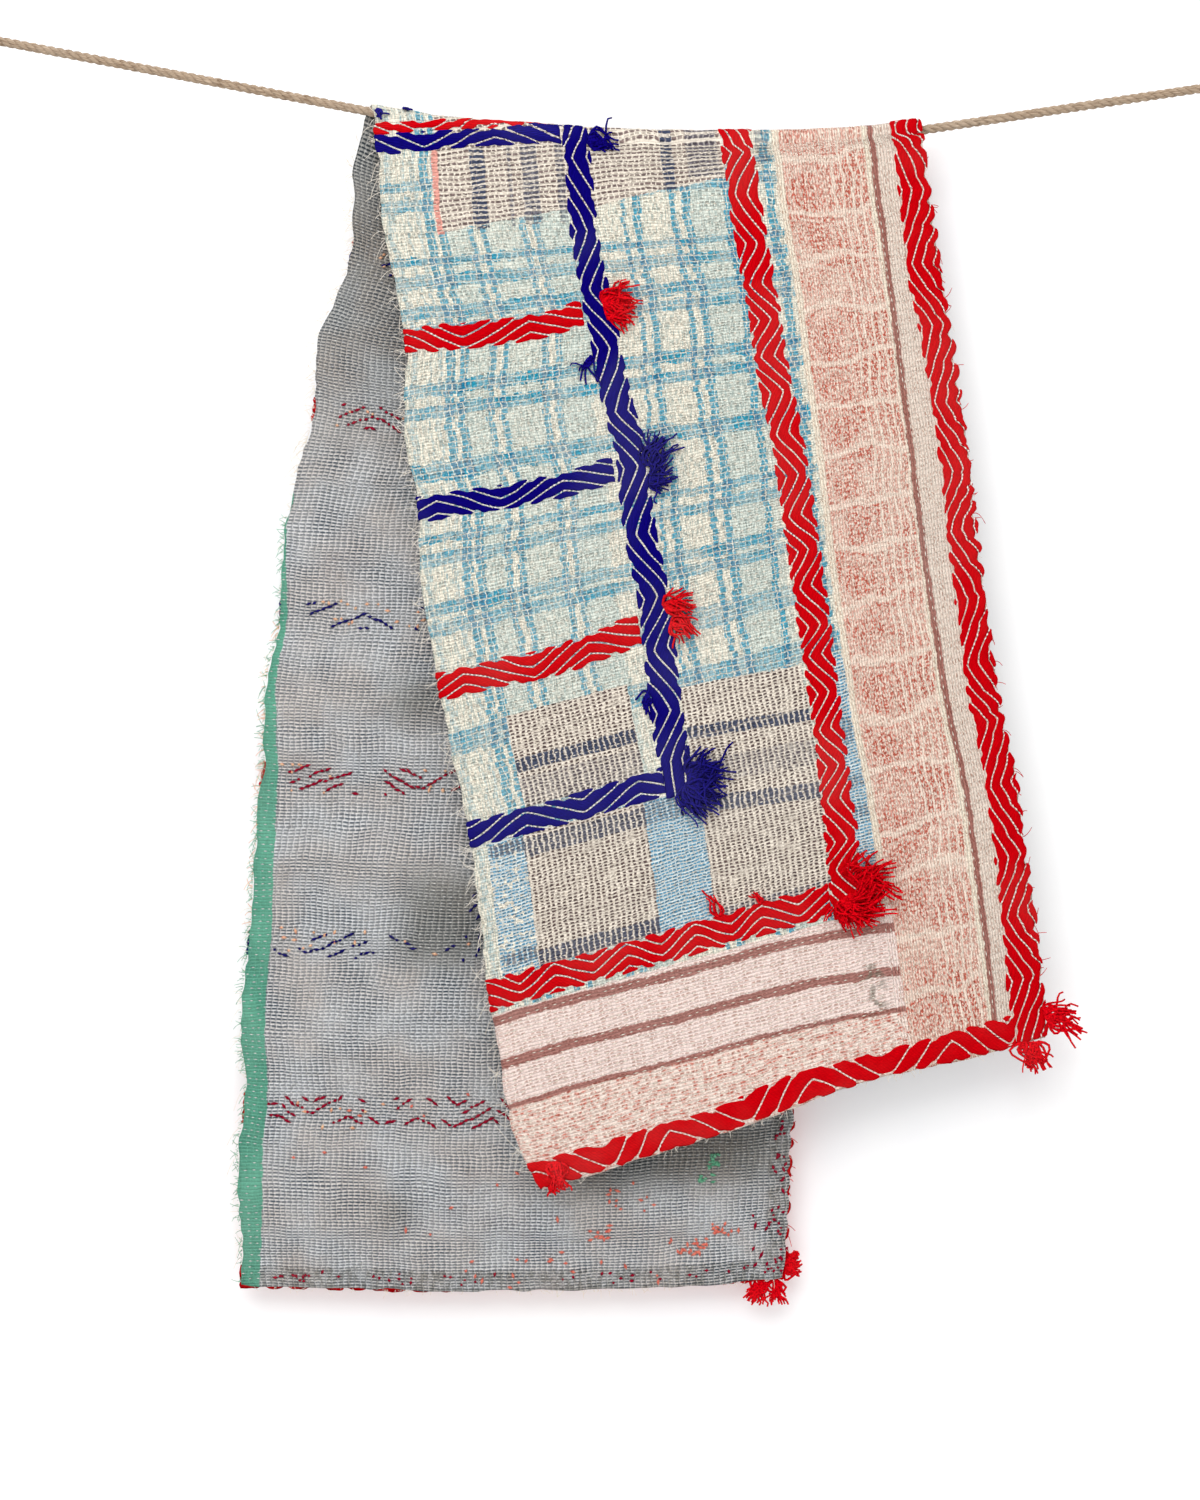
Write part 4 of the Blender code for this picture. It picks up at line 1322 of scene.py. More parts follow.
def read_maps(back_too=True, sway=0.0052):
    """The cloth map with hand-cut wavering, the stitch map, and U and V; V runs back after the fold."""
    cloth, stitch = uv_map("cloth_map"), uv_map("stitch_map")
    broad = parts_of(noise(cloth, 70.0, 3.0, take="Color"))
    fine = parts_of(noise(cloth, 420.0, 1.0, take="Color"))
    u, v, _ = parts_of(cloth)
    if back_too:
        v = MIRROR_V - abs(v - MIRROR_V)
    u_cut, v_cut = (value + (wide - 0.5) * 0.0050 + (thin - 0.5) * 0.0022
                    for value, wide, thin in zip((u, v), broad, fine))
    nudges = parts_of(noise(stitch, 150.0, 1.0, take="Color"))
    wavy_u, wavy_v = (value + (nudge - 0.5) * reach
                      for value, nudge, reach in zip(parts_of(stitch), nudges, (sway, sway / 2)))
    return Maps(cloth, stitch, u, v, u_cut, v_cut, point(u_cut, v_cut), point(wavy_u, wavy_v),
                point(wavy_v, wavy_u))


def inside(maps, left, right, low, high, lean=0.0, softness=0.6):
    """1 inside a patch; all but the lean is in millimetres."""
    return ragged_patch(maps.cut, left / 1000, right / 1000, low / 1000, high / 1000, lean, softness / 1000)


def dashes(where, repeat_u, repeat_v, share_u, share_v, shift=0.1, softness=0.15):
    """Dashes whose repeats are in millimetres."""
    return dash_grid(where, repeat_u / 1000, repeat_v / 1000, share_u, share_v, shift, softness)


def stripe(off, wide, softness):
    """1 on a stripe of that width; off is how far a place is from its middle."""
    return 1.0 - between(abs(off), wide / 2 - softness, wide / 2 + softness)


# %% The plaid ground
ROW_MM = ROW_PITCH * 1000
BLUE, DEEP_BLUE = colour(38, 156, 186), colour(4, 112, 156)
PLAID_CREAM, PLAID_PALE, PLAID_SHADE = colour(252, 245, 226), colour(226, 233, 222), colour(152, 174, 170)
PLAID_WIDE, PLAID_LONG = 555, 1131
WARP_BARS = (                   # from, to, strength, in millimetres across
    (5, 12, 0.35), (24, 28, 0.30), (33, 38, 0.35), (43, 50, 0.85), (56, 63, 0.85), (86, 92, 0.80),
    (98, 106, 0.85), (139, 146, 0.80), (153, 159, 0.75), (241, 247, 0.85), (253, 262, 0.90),
    (291, 299, 0.90), (304, 313, 0.90), (345, 352, 0.95), (389, 398, 0.90),
)
WEFT_BARS = (                   # from, to, strength, in millimetres along
    (431, 453, 0.75), (486, 511, 0.55), (546, 558, 0.75), (564, 576, 0.80), (612, 624, 0.75),
    (632, 644, 0.80), (694, 714, 0.85), (759, 771, 0.85), (779, 791, 0.85), (839, 851, 0.75),
    (856, 868, 0.80), (887, 899, 0.80), (906, 918, 0.85), (962, 974, 0.70), (984, 994, 0.70),
)
PALE_CELLS = (                  # from, to, how pale, in millimetres across
    (63, 86, 0.85), (106, 139, 0.75), (159, 190, 0.95), (262, 270, 0.2), (313, 345, 0.95), (352, 360, 0.6),
)


def bar_ramp(value, bars, length):
    """Stripes as one colour ramp; bars are in millimetres and length is the ramp's whole length."""
    stops = [stop for low, high, strength in bars
             for stop in ((low / length, strength), (high / length, 0.0))]
    return ramp(value / (length / 1000), stops, "CONSTANT")


def stepped(value, pitch, amount):
    """A shift with one value for each row, as every row of stitches pulls the cloth its own way."""
    return (chance_of(calc("FLOOR", value / pitch)) - 0.5) * amount


def draw_plaid(maps):
    """Cream and pale cells with blue bars, broken up by the cream threads of the quilting."""
    wander_u, wander_v, _ = parts_of(noise(maps.cloth, 26.0, 1.0, take="Color"))
    wavy_u, wavy_v, _ = parts_of(maps.wavy)
    u = maps.u_cut + (wander_u - 0.5) * 0.007 + stepped(wavy_v, 2 * ROW_PITCH, 0.0036)
    v = maps.v_cut + (wander_v - 0.5) * 0.007 + stepped(wavy_u, 0.0064, 0.0022)
    warp, weft = bar_ramp(u, WARP_BARS, PLAID_WIDE), bar_ramp(v, WEFT_BARS, PLAID_LONG)
    hatch = between(noise(point(maps.u * 7.0, maps.v), 110.0), 0.44, 0.62) * 0.65
    cells = blend(bar_ramp(u, PALE_CELLS, PLAID_WIDE), PLAID_CREAM, PLAID_PALE)
    ground = blend(hatch, cells, PLAID_SHADE)
    patchy = between(noise(maps.cloth, 34.0), 0.38, 0.66)
    either = calc("MAXIMUM", warp * 0.9, weft * (patchy * 0.5 + 0.6))
    bars = blend(warp * weft, BLUE, DEEP_BLUE)
    flecks = between(noise(maps.stitch, 300.0), 0.34, 0.50)
    seen = dashes(maps.wavy, 6.4, 2 * ROW_MM, 0.86, 0.84, 0.55, 0.10) * (flecks * 0.45 + 0.55)
    return blend(either * (seen * 0.98 + 0.12), ground, bars)


print("Plaid bars:", len(WARP_BARS), "upright and", len(WEFT_BARS), "across")

# %% The pieced patches
PATCHES = (                     # left, right, low, high, lean, look; later ones lie over earlier ones
    (56, 63, 940, 1021, 0.0, "salmon"), (62, 353, 942, 1300, 0.105, "upper"),
    (196, 353, 950, 1300, 0.20, "upper"), (62, 187, 366, 457, 0.0, "beige"),
    (237, 362, 300, 441, -0.08, "beige"), (17, 58, 206, 341, 0.0, "worn blue"),
    (55, 181, 206, 341, 0.0, "beige"), (180, 238, 206, 341, 0.0, "light blue"),
    (237, 362, 206, 303, -0.04, "beige"), (386, 420, 206, 432, 0.0, "light blue"),
)
GREY_BARS = (                   # left, right, low, high, lean, strength
    (95, 110, 943, 1021, 0.0, 1.0), (133, 137, 943, 1021, 0.0, 0.7), (147, 164, 943, 1021, 0.0, 0.8),
    (182, 190, 943, 1021, 0.0, 0.7), (290, 302, 965, 1060, 0.0, 1.0), (316, 348, 975, 1060, 0.0, 0.6),
    (386, 400, 985, 1030, 0.0, 0.6), (62, 187, 400, 413, 0.0, 1.0), (62, 187, 360, 394, 0.0, 0.35),
    (237, 362, 389, 401, -0.10, 1.0), (237, 362, 345, 370, -0.10, 0.35), (237, 362, 315, 331, -0.14, 0.9),
    (55, 181, 317, 336, 0.0, 0.8), (55, 181, 206, 223, 0.0, 0.9), (20, 55, 325, 338, 0.0, 0.8),
    (20, 55, 215, 228, 0.0, 0.7), (180, 237, 317, 340, 0.0, 0.5), (237, 360, 206, 214, 0.0, 0.6),
    (386, 420, 345, 371, 0.0, 0.5), (386, 420, 299, 311, 0.0, 0.5), (386, 420, 268, 281, 0.0, 0.5),
)
BEIGE, BEIGE_DOT, UPPER_DOT = colour(242, 231, 215), colour(98, 78, 76), colour(134, 116, 112)
SLATE_BAR, SALMON = colour(68, 76, 100), colour(240, 168, 154)
LIGHT_BLUE, BLUE_DOT = colour(88, 150, 182), colour(226, 236, 236)


def draw_patches(maps, shown):
    """The beige, light blue and salmon patches over the plaid, and their woven grey bars."""
    dots = dashes(maps.wavy, 5.7, ROW_MM, 0.54, 0.60, 0.06, 0.16)
    long_dots = dashes(maps.wavy, 5.7, 1.5 * ROW_MM, 0.76, 0.46, 0.5, 0.18)
    lines = dashes(maps.wavy, 4.1, ROW_MM, 0.84, 0.55, 0.6, 0.20)
    uneven = between(noise(maps.cloth, 60.0), 0.15, 0.50)
    worn = between(noise(maps.wavy, 150.0), 0.53, 0.62)
    light_blue = blend(lines, BLUE_DOT, LIGHT_BLUE)
    looks = {"beige": blend(dots * uneven, BEIGE, BEIGE_DOT), "light blue": light_blue,
             "upper": blend(long_dots * uneven, BEIGE, UPPER_DOT), "salmon": SALMON,
             "worn blue": blend(worn, light_blue, PLAID_CREAM)}
    for *edges, look in PATCHES:
        shown = blend(inside(maps, *edges), shown, looks[look])
    columns = dashes(maps.wavy, 5.7, 26.0, 0.66, 0.99, 0.25, 0.14)
    level = dashes(maps.wavy, 11.4, 1.5 * ROW_MM, 0.97, 0.62, 0.5, 0.14)
    woven = fade(between(maps.v, 0.90, 0.91), columns, level)
    slate, *others = [inside(maps, *edges, 0.9) * strength for *edges, strength in GREY_BARS]
    for bar in others:
        slate = calc("MAXIMUM", slate, bar)
    return blend(slate * (woven * 0.85 + 0.15), shown, SLATE_BAR)


print("Patches:", len(PATCHES), "and grey bars:", len(GREY_BARS))

# %% The printed border
PRINT_RED, PRINT_GROUND = colour(196, 84, 62), colour(251, 234, 217)
BORDER_CREAM, BORDER_PLAIN = colour(242, 230, 210), colour(232, 216, 202)
STRIPE_BROWN = colour(158, 94, 84)
BLOCK_HEIGHT, BLOCK_START = 0.057, 0.022
PRINT_LEFT, PRINT_RIGHT, BORDER_LEFT = 411, 494, 0.404
STRIPE_AT, STRIPE_WIDE = 0.5005, 0.0062
RIB_PITCH = 0.0088


def draw_border(maps):
    """Block print in rows, faded and cut by cream rows, then a brown stripe and a plain strip."""
    u, v = maps.u_cut, maps.v_cut
    specks = between(noise(point(maps.u * 1.5, maps.v), 300.0, 2.0, 0.6), 0.43, 0.56)
    worn = between(noise(maps.cloth, 22.0, 3.0), 0.30, 0.62)
    drift_u, drift_v, _ = parts_of(noise(maps.cloth, 19.0, take="Color"))
    block = calc("FRACT", (v + (drift_v - 0.5) * 0.045 - BLOCK_START) / BLOCK_HEIGHT)
    pale_row = between(abs(block - 0.5), 0.40, 0.47)
    across = (u - PRINT_LEFT / 1000) / ((PRINT_RIGHT - PRINT_LEFT) / 1000)
    arch_x, arch_y = (across - 0.27) / 0.25, (block - 0.42) / 0.44
    arch = 1.0 - between(abs(calc("SQRT", arch_x * arch_x + arch_y * arch_y) - 0.92), 0.04, 0.16)
    striped = between(across, 0.50, 0.60)
    ribs = calc("SINE", (u + (drift_u - 0.5) * 0.020) * (TURN / RIB_PITCH))
    pale = calc("MAXIMUM", pale_row * 0.75, between(ribs, 0.30, 0.85) * (striped * 0.55 + 0.30))
    pale = calc("MAXIMUM", pale, arch * (1.0 - striped) * 0.42)
    ink = (1.0 - pale) * (specks * 0.76 + 0.20) * (worn * 0.45 + 0.55)
    in_print = inside(maps, PRINT_LEFT, PRINT_RIGHT, -20, 1140, 0.0, 1.5)
    shown = blend(in_print, BORDER_CREAM, blend(ink, PRINT_GROUND, PRINT_RED))
    shown = blend(between(u, STRIPE_AT, STRIPE_AT + 0.002), shown, BORDER_PLAIN)
    brown = stripe(u - calc("SINE", v * 7.5) * 0.0022 - STRIPE_AT, STRIPE_WIDE, 0.0008)
    return blend(brown * 0.92, shown, STRIPE_BROWN)


print("Border print ready; a block is", round(BLOCK_HEIGHT * 1000), "mm high")

# %% The striped foot
FOOT_PINK, FOOT_WORN, FOOT_INK = colour(246, 226, 218), colour(248, 230, 218), colour(206, 116, 98)
FOOT_STAIN = colour(120, 118, 104)
FOOT_STRIPES = (                # middle at the cut edge, middle at the border, width, in millimetres
    (165.0, 151.0, 9.5), (122.5, 107.5, 9.5), (82.5, 70.5, 5.0),
)
FOOT_WIDE, FOOT_TOP = 413, 172
FOOT_BEND = 0.0014


def draw_foot(maps):
    """Pale pink with three brown stripes; under the last one the cloth is worn and reddish."""
    share = maps.u_cut / (FOOT_WIDE / 1000)
    drop = share * share * share
    bend = calc("SINE", maps.u_cut * 26.0) * FOOT_BEND
    red_dash = dashes(maps.wavy, 7.0, ROW_MM, 0.80, 0.50, 0.6, 0.20)
    broken = between(noise(maps.stitch, 150.0, 4.0, 0.65), 0.45, 0.62)
    blush = blend((red_dash * 0.65 + 0.35) * broken, FOOT_WORN, FOOT_INK)
    shown = blend(between(0.0825 - drop * 0.012 - maps.v_cut, -0.001, 0.001), FOOT_PINK, blush)
    for cut_at, border_at, width in FOOT_STRIPES:
        middle = cut_at / 1000 - drop * ((cut_at - border_at) / 1000)
        brown = stripe(maps.v_cut - bend - middle, width / 1000, 0.0007)
        shown = blend(brown * 0.88, shown, STRIPE_BROWN)
    blots = between(noise(maps.cloth, 95.0), 0.45, 0.62)
    return blend(inside(maps, 376, 396, 74, 122, 0.0, 9.0) * blots * 0.75, shown, FOOT_STAIN)


print("Foot stripes:", len(FOOT_STRIPES))

# %% The decorated side's material
PUCKER_BUMP, WEAVE_BUMP = 0.0016, 0.00025
BORDER_ROW_PITCH = 0.00285
# Painted shade: tints multiplied into the decorated side as dark dashes between the stitches, grey on the
# plaid and warm on the border and foot.
HOLLOW_SHADE, HOLLOW_WARM_SHADE = colour(120, 112, 110), colour(166, 124, 108)


def hollows(maps, row_pitch, upright=False):
    """Height of the puckers: each row of stitches draws the cloth in."""
    u, v, _ = parts_of(maps.stitch)
    beside, along = (u, v) if upright else (v, u)
    ridge = abs(calc("SINE", beside * (math.pi / row_pitch)))
    return calc("SQRT", ridge) + calc("COSINE", along * (TURN / STITCH_REPEAT)) * 0.25


def finish_quilted(shader, maps, shown, dust, puckers, crinkle, thread):
    """Age a side of the quilt, and put a fine crinkle and the weave on its puckers."""
    height = puckers + noise(maps.stitch, 240.0) * crinkle
    height = height + loom_weave(maps.stitch, thread) * (WEAVE_BUMP / PUCKER_BUMP)
    dress(shader, handled(shown, object_place(), 0.04, dust), height, PUCKER_BUMP, 0.9)


def make_decorated():
    made, shader = new_material("pieced_cotton", 0.92, 0.02)
    maps = read_maps()
    border = between(maps.u_cut, BORDER_LEFT - 0.0008, BORDER_LEFT + 0.0008)
    foot = inside(maps, -10, FOOT_WIDE, -20, FOOT_TOP)
    shown = blend(border, draw_patches(maps, draw_plaid(maps)), draw_border(maps))
    shown = blend(foot, shown, draw_foot(maps))
    patchy = between(noise(maps.cloth, 130.0), 0.35, 0.65)
    # Painted shade between the stitches: dark dashes along the rows, uneven in patches, multiplied into the
    # colour.
    level_shade_dashes = dashes(maps.wavy, 5.7, ROW_MM, 0.74, 0.42, 0.5, 0.24)
    upright_shade_dashes = dashes(maps.turned, 5.7, BORDER_ROW_PITCH * 1000, 0.70, 0.42, 0.5, 0.24)
    shade_dashes = fade(border, level_shade_dashes, upright_shade_dashes) * (patchy * 0.55 + 0.2)
    shade_tint = blend(calc("MAXIMUM", border, foot), HOLLOW_SHADE, HOLLOW_WARM_SHADE)
    puckers = fade(border, hollows(maps, ROW_PITCH), hollows(maps, BORDER_ROW_PITCH, True))
    finish_quilted(shader, maps, blend(shade_dashes, shown, shade_tint, "MULTIPLY"), 0.22, puckers, 0.9, 0.0013)
    return made


DECORATED = make_decorated()
print("It has", len(DECORATED.node_tree.nodes), "nodes")

# %% [markdown]
# ## The lining
#
# The back of the quilt is one grey checked cloth. Its rows of stitches are closer, and the wool of
# the bands shows through only as short stray dashes. A green sari border peeps out along the cut
# edge of the back flap. The dashes are real grains of thread, as on the other side.

# %% The lining's material
LINING_SLATE, LINING_MIST = colour(64, 74, 84), colour(238, 239, 240)
# The grime-and-shade tint darkens real stains, paints shade into the hem's creases, and darkens the top of
# the back flap.
LINING_WARM, LINING_GRIME_AND_SHADE = colour(234, 226, 220), colour(168, 166, 158)
LINING_BROWN = colour(116, 92, 84)
HEM_TURNED = 2.236
LINING_STAINS = (               # left, right, low, high
    (150, 230, 1830, 1930), (120, 170, 1640, 1680), (140, 175, 2165, 2190), (330, 540, 2080, 2150),
)
GREEN, GREEN_DEEP = colour(106, 176, 150), colour(38, 104, 88)
GREEN_STRIP = (                 # along, width
    (1440, 0), (1600, 9), (1700, 14), (1800, 20), (1900, 25), (2160, 26), (2262, 20),
)
STRIP_FULL = 0.1                # the width that the ramp's level 1 stands for


def strip_width(v):
    """The green strip's width at V, from the table, as one ramp."""
    stops = [(along / 1000 / CLOTH_LENGTH, width / 1000 / STRIP_FULL) for along, width in GREEN_STRIP]
    return ramp(v / CLOTH_LENGTH, stops) * STRIP_FULL


def make_lining():
    made, shader = new_material("grey_lining", 0.94, 0.02)
    maps = read_maps(False, 0.0018)
    dark_rows = dashes(maps.wavy, 5.7, ROW_MM, 0.92, 0.54, 0.5, 0.16)
    dark_columns = dashes(maps.turned, 40.0, 5.7, 1.1, 0.26, 0.1, 0.16)
    ground = blend(between(noise(maps.cloth, 13.0, 3.0), 0.35, 0.65), LINING_MIST, LINING_WARM)
    thick = between(noise(maps.cloth, 22.0, 3.0), 0.25, 0.75)
    dark = calc("MAXIMUM", dark_rows, dark_columns * 0.55) * (thick * 0.25 + 0.75)
    shown = blend(dark, ground, LINING_SLATE)
    # Darker towards the top of the back flap.
    shown = blend((1.0 - between(maps.v, 1.16, 1.52)) * 0.75, shown, LINING_GRIME_AND_SHADE, "MULTIPLY")
    for stain in LINING_STAINS:
        shown = blend(inside(maps, *stain, 0.0, 26.0) * 0.8, shown, LINING_GRIME_AND_SHADE, "MULTIPLY")
    shown = blend(between(noise(maps.cloth, 9.0, 4.0, 0.6), 0.56, 0.76) * 0.22, shown, LINING_BROWN)
    wrinkled = between(noise(point(maps.u, maps.v * 0.4), 190.0), 0.44, 0.62) * 0.7
    turned_in = between(maps.v, HEM_TURNED - 0.002, HEM_TURNED + 0.002)
    crease = calc("MAXIMUM", turned_in, between(maps.u, 0.530, 0.536)) * (wrinkled + 0.3)
    # Painted shade in the creases of the turned-in hem and along the hemmed edge; the same creases also dent
    # the bump.
    shown = blend(crease * 0.7, shown, LINING_GRIME_AND_SHADE, "MULTIPLY")
    green = between(strip_width(maps.v) - maps.u_cut, -0.0006, 0.0006) * between(maps.v_cut, 1.44, 1.46)
    shown = blend(green, shown, blend(dark_rows * (thick * 0.6 + 0.15), GREEN, GREEN_DEEP))
    finish_quilted(shader, maps, shown, 0.25, hollows(maps, ROW_PITCH) - crease * 1.1, 0.7, 0.0014)
    return made


def make_raw_edge():
    """The cut layers seen from the side: thin stripes of the cloths inside."""
    made, shader = new_material("cut_layers", 0.95, 0.1)
    layers = noise(uv_map("cloth_map"), 160.0)
    shown = blend(between(layers, 0.35, 0.65), colour(206, 196, 182), colour(150, 150, 156))
    dress(shader, handled(shown, object_place(), 0.2, 0.5), layers, 0.0004)
    return made


for finish in (DECORATED, make_lining(), make_raw_edge()):
    quilt.data.materials.append(finish)

# %% The wool's materials


@shader_group({"shade": FLOAT, "height": FLOAT}, along=0.0, across=0.0, pitch=0.0013)
def laid_wool(along, across, pitch):
    """Threads of wool laid side by side: a shade, with painted shade in the grooves between the threads, and
    a height.
    """
    where = point(along, across)
    # The ridge is painted shade in the grooves between the threads, and also the height of their bump; the
    # fibre streaks are the wool's own tone.
    ridge = abs(calc("SINE", (across / pitch + noise(where, 60.0) * 2.4) * math.pi))
    shade, height = spun_fibre(where, 1400.0, 0.12)
    return (ridge + shade) * 0.5, ridge + height * 0.5


def make_wool(name, light, dark, laid=False):
    """Dyed wool: laid in the bands, or loose as cut ends and loops, which have no direction."""
    made, shader = new_material(name, 0.9, shine=0.0)
    if laid:
        shade, height = laid_wool(attribute("wool_along"), attribute("wool_across"))
    else:
        height = noise(object_place(), 500.0, 3.0, 0.6)
        shade = between(height, 0.32, 0.62)
    shown = blend(shade, colour(*dark), colour(*light))
    dress(shader, handled(shown, object_place(), 0.02, 0.02), height, 0.0006 if laid else 0.0004)
    return made


red_bands.data.materials.append(make_wool("red_wool_laid", (228, 4, 16), (172, 0, 10), laid=True))
navy_bands.data.materials.append(make_wool("navy_wool_laid", (18, 8, 130), (4, 0, 82), laid=True))
LOOSE_RED = make_wool("red_wool_loose", (230, 8, 24), (150, 0, 10))
LOOSE_NAVY = make_wool("navy_wool_loose", (20, 10, 124), (5, 0, 60))

# %% [markdown]
# ## Tufts and tassels
#
# Wherever a band of wool ends, its threads were left long and cut into a brush. A brush is a bundle
# of separate threads, and its look comes from how they fan out, bend and lie over each other. Every
# thread is therefore its own line, and the tree for threads turns the lines into tapered tubes.

# %% The brushes' table
# across, along, angle from the cloth's U direction, fan to each side, width of the root, length,
# number of strands, bend as a share of the length, rise off the cloth; in millimetres and degrees
RED_BRUSHES = (
    (208, 855, 24, 66, 12, 32, 34, -0.55, 10), (212, 845, -50, 40, 10, 22, 20, 0.60, 10),
    (236, 521, 14, 56, 10, 26, 28, -0.60, 10), (240, 505, -24, 52, 10, 24, 26, -0.50, 10),
    (382, 200, 36, 56, 18, 34, 40, -0.60, 13), (366, 190, -60, 60, 24, 26, 44, 0.90, 15),
    (384, 182, -40, 110, 20, 22, 44, 1.00, 17), (370, 180, -100, 70, 36, 18, 46, 0.90, 14),
    (240, 207, 78, 30, 4, 22, 5, 0.60, 5), (284, 208, 70, 40, 4, 12, 4, 0.80, 4),
    (554, 20, 6, 34, 24, 31, 34, -0.55, 4), (534, 1, -94, 24, 22, 30, 34, 0.15, 3),
    (30, 22, -118, 16, 10, 30, 34, 0.08, 5), (12, 1, -95, 30, 8, 10, 12, 0.10, 1),
    (554, 2246, 0, 48, 14, 18, 46, -0.20, 2), (532, 2260, 112, 22, 9, 24, 34, 0.15, 2),
    (546, 2260, 78, 18, 8, 26, 32, -0.10, 2),
)
NAVY_BRUSHES = (
    (236, 676, 66, 34, 14, 36, 30, -0.25, 8), (236, 664, -20, 80, 16, 22, 34, 0.60, 9),
    (232, 352, 26, 54, 20, 34, 48, -0.40, 11), (226, 346, -58, 46, 26, 40, 60, 0.30, 12),
    (218, 1025, 2, 26, 9, 30, 22, -0.10, 3), (194, 800, -130, 40, 8, 22, 7, 0.50, 2),
    (207, 440, -170, 60, 20, 13, 10, 0.60, 2), (5, 1060, -80, 20, 5, 13, 7, 0.20, 1),
    (35, 1062, -84, 20, 4, 11, 6, 0.20, 1),
)
STRAND_STEPS, STRAND_SWERVE, WOOL_RADIUS = 8, 0.5, 0.00150

# %% Growing the brushes


def brush_lines(brush, chance):
    """Every strand of one brush, from its root to its tip."""
    across, along, angle, fan, root_wide, most, strands, bend, rise = brush
    spot, over, up, out = (part[0] for part in side_points(across / 1000, along / 1000, 0.0006))
    angle, fan = math.radians(angle), math.radians(fan)
    ahead = over * math.cos(angle) + up * math.sin(angle)
    beside = np.cross(out, ahead)
    share = np.linspace(0.0, 1.0, STRAND_STEPS)[:, None]
    for _ in range(strands):
        lean = max(min(chance.normal(0.0, STRAND_SWERVE) * fan, fan), -fan)
        way = ahead * math.cos(lean) + beside * math.sin(lean)
        length = most / 1000 * chance.uniform(0.62, 1.05)
        off = chance.uniform(-0.5, 0.5) * 0.6 + math.sin(lean) * 0.3
        bent = bend * length * chance.uniform(0.3, 1.5) + chance.normal(0.0, 0.05) * length
        curl = chance.normal(0.0, 0.20) * length
        arch = rise / 1000 * chance.uniform(0.0, 1.0) * np.sin(share * math.pi * 0.62) + 0.0003
        wave = bent * share ** 2 + curl * np.sin(share * TURN * 0.8)
        yield (spot + beside * root_wide / 1000 * off + way * length * share
               + np.cross(out, way) * wave + out * arch)


def grow_brushes(name, table, finish, seed):
    chance = np.random.default_rng(seed)
    lines = [line for brush in table for line in brush_lines(brush, chance)]
    return tie_threads(name, lines, WOOL_RADIUS, 4, finish, 0.40)


red_tufts = grow_brushes("red_tufts", RED_BRUSHES, LOOSE_RED, 71)
navy_tufts = grow_brushes("navy_tufts", NAVY_BRUSHES, LOOSE_NAVY, 72)

# %% [markdown]
# ## Frayed edges and stray threads
#
# The cut edge was never hemmed, so the ends of the quilting threads stick out all along it, and the
# cloth's own threads work loose. They are much thinner than the wool. A few hundred short curls are
# enough to break the edge's clean outline.

# %% Threads along the edges
GREEN_THREAD = make_cotton("green_thread", (120, 190, 152), (70, 140, 108), 0.1)
PEACH_THREAD = make_cotton("peach_thread", (240, 200, 160), (222, 150, 120), 0.1)
FRAYS = (                       # name, radius, thread; then edge, from and to in mm, count, length in mm
    ("cream_fray", 0.00032, CREAM_THREAD,
     (("cut", 10, 1060, 330, 16), ("cut", 1100, 1460, 170, 16), ("cut", 1460, 2250, 140, 15),
      ("hemmed", 30, 2230, 240, 5), ("front", 10, 550, 130, 7), ("back", 10, 550, 120, 7))),
    ("red_fray", 0.00045, LOOSE_RED, (("hemmed", 40, 1040, 70, 14), ("hemmed", 1200, 2230, 60, 10))),
    ("green_fray", 0.00036, GREEN_THREAD, (("cut", 1480, 2255, 420, 10),)),
    ("peach_fray", 0.00040, PEACH_THREAD, (("cut", 1560, 1900, 90, 10),)),
)
FRAY_STEPS = 5
DOWN = np.array((0.0, 0.0, -1.0))


def curled(root, way, side, length, chance):
    """A short loose thread that bends as it goes."""
    share = np.linspace(0.0, 1.0, FRAY_STEPS)[:, None]
    bend = chance.normal(0.0, 0.60) * length
    droop = chance.uniform(0.0, 0.55) * length
    return root + way * length * share + side * bend * share ** 2 + DOWN * droop * share ** 2


def edge_threads(edge, low, high, count, length, chance):
    """Loose threads along one stretch of the cut, hemmed, front or back edge."""
    spots = chance.uniform(low / 1000, high / 1000, count)
    outward = 1.0 if edge in ("hemmed", "back") else -1.0
    if edge in ("cut", "hemmed"):
        across = 0.001 if edge == "cut" else CLOTH_WIDTH - 0.001
        middles, aways, besides, outs = surface_frame(across, spots)
    else:
        pattern = hem_bulge(spots) + 0.001 if edge == "front" else CLOTH_LENGTH - 0.003
        middles, besides, aways, outs = surface_frame(spots, pattern)
    for middle, away, beside, out in zip(middles, aways * outward, besides, outs):
        lean = chance.normal(0.0, 0.55)
        root = middle + out * chance.uniform(-0.001, 0.001)
        reach = length / 1000 * chance.uniform(0.25, 1.0) ** 2
        way = away * math.cos(lean) + beside * math.sin(lean) + out * chance.normal(0.0, 0.2)
        yield curled(root, unit(way), beside, reach, chance)


FRAY_CHANCE = np.random.default_rng(91)
frays = [tie_threads(name, [line for stretch in table for line in edge_threads(*stretch, FRAY_CHANCE)],
                     radius, 3, finish, 0.3) for name, radius, finish, table in FRAYS]

# %% [markdown]
# ## What shows of the bands on the lining
#
# On the back of the quilt the wool was only caught now and then, so each band leaves a scatter of
# short dashes along its zigzag lines. Between them are darns in other colours.

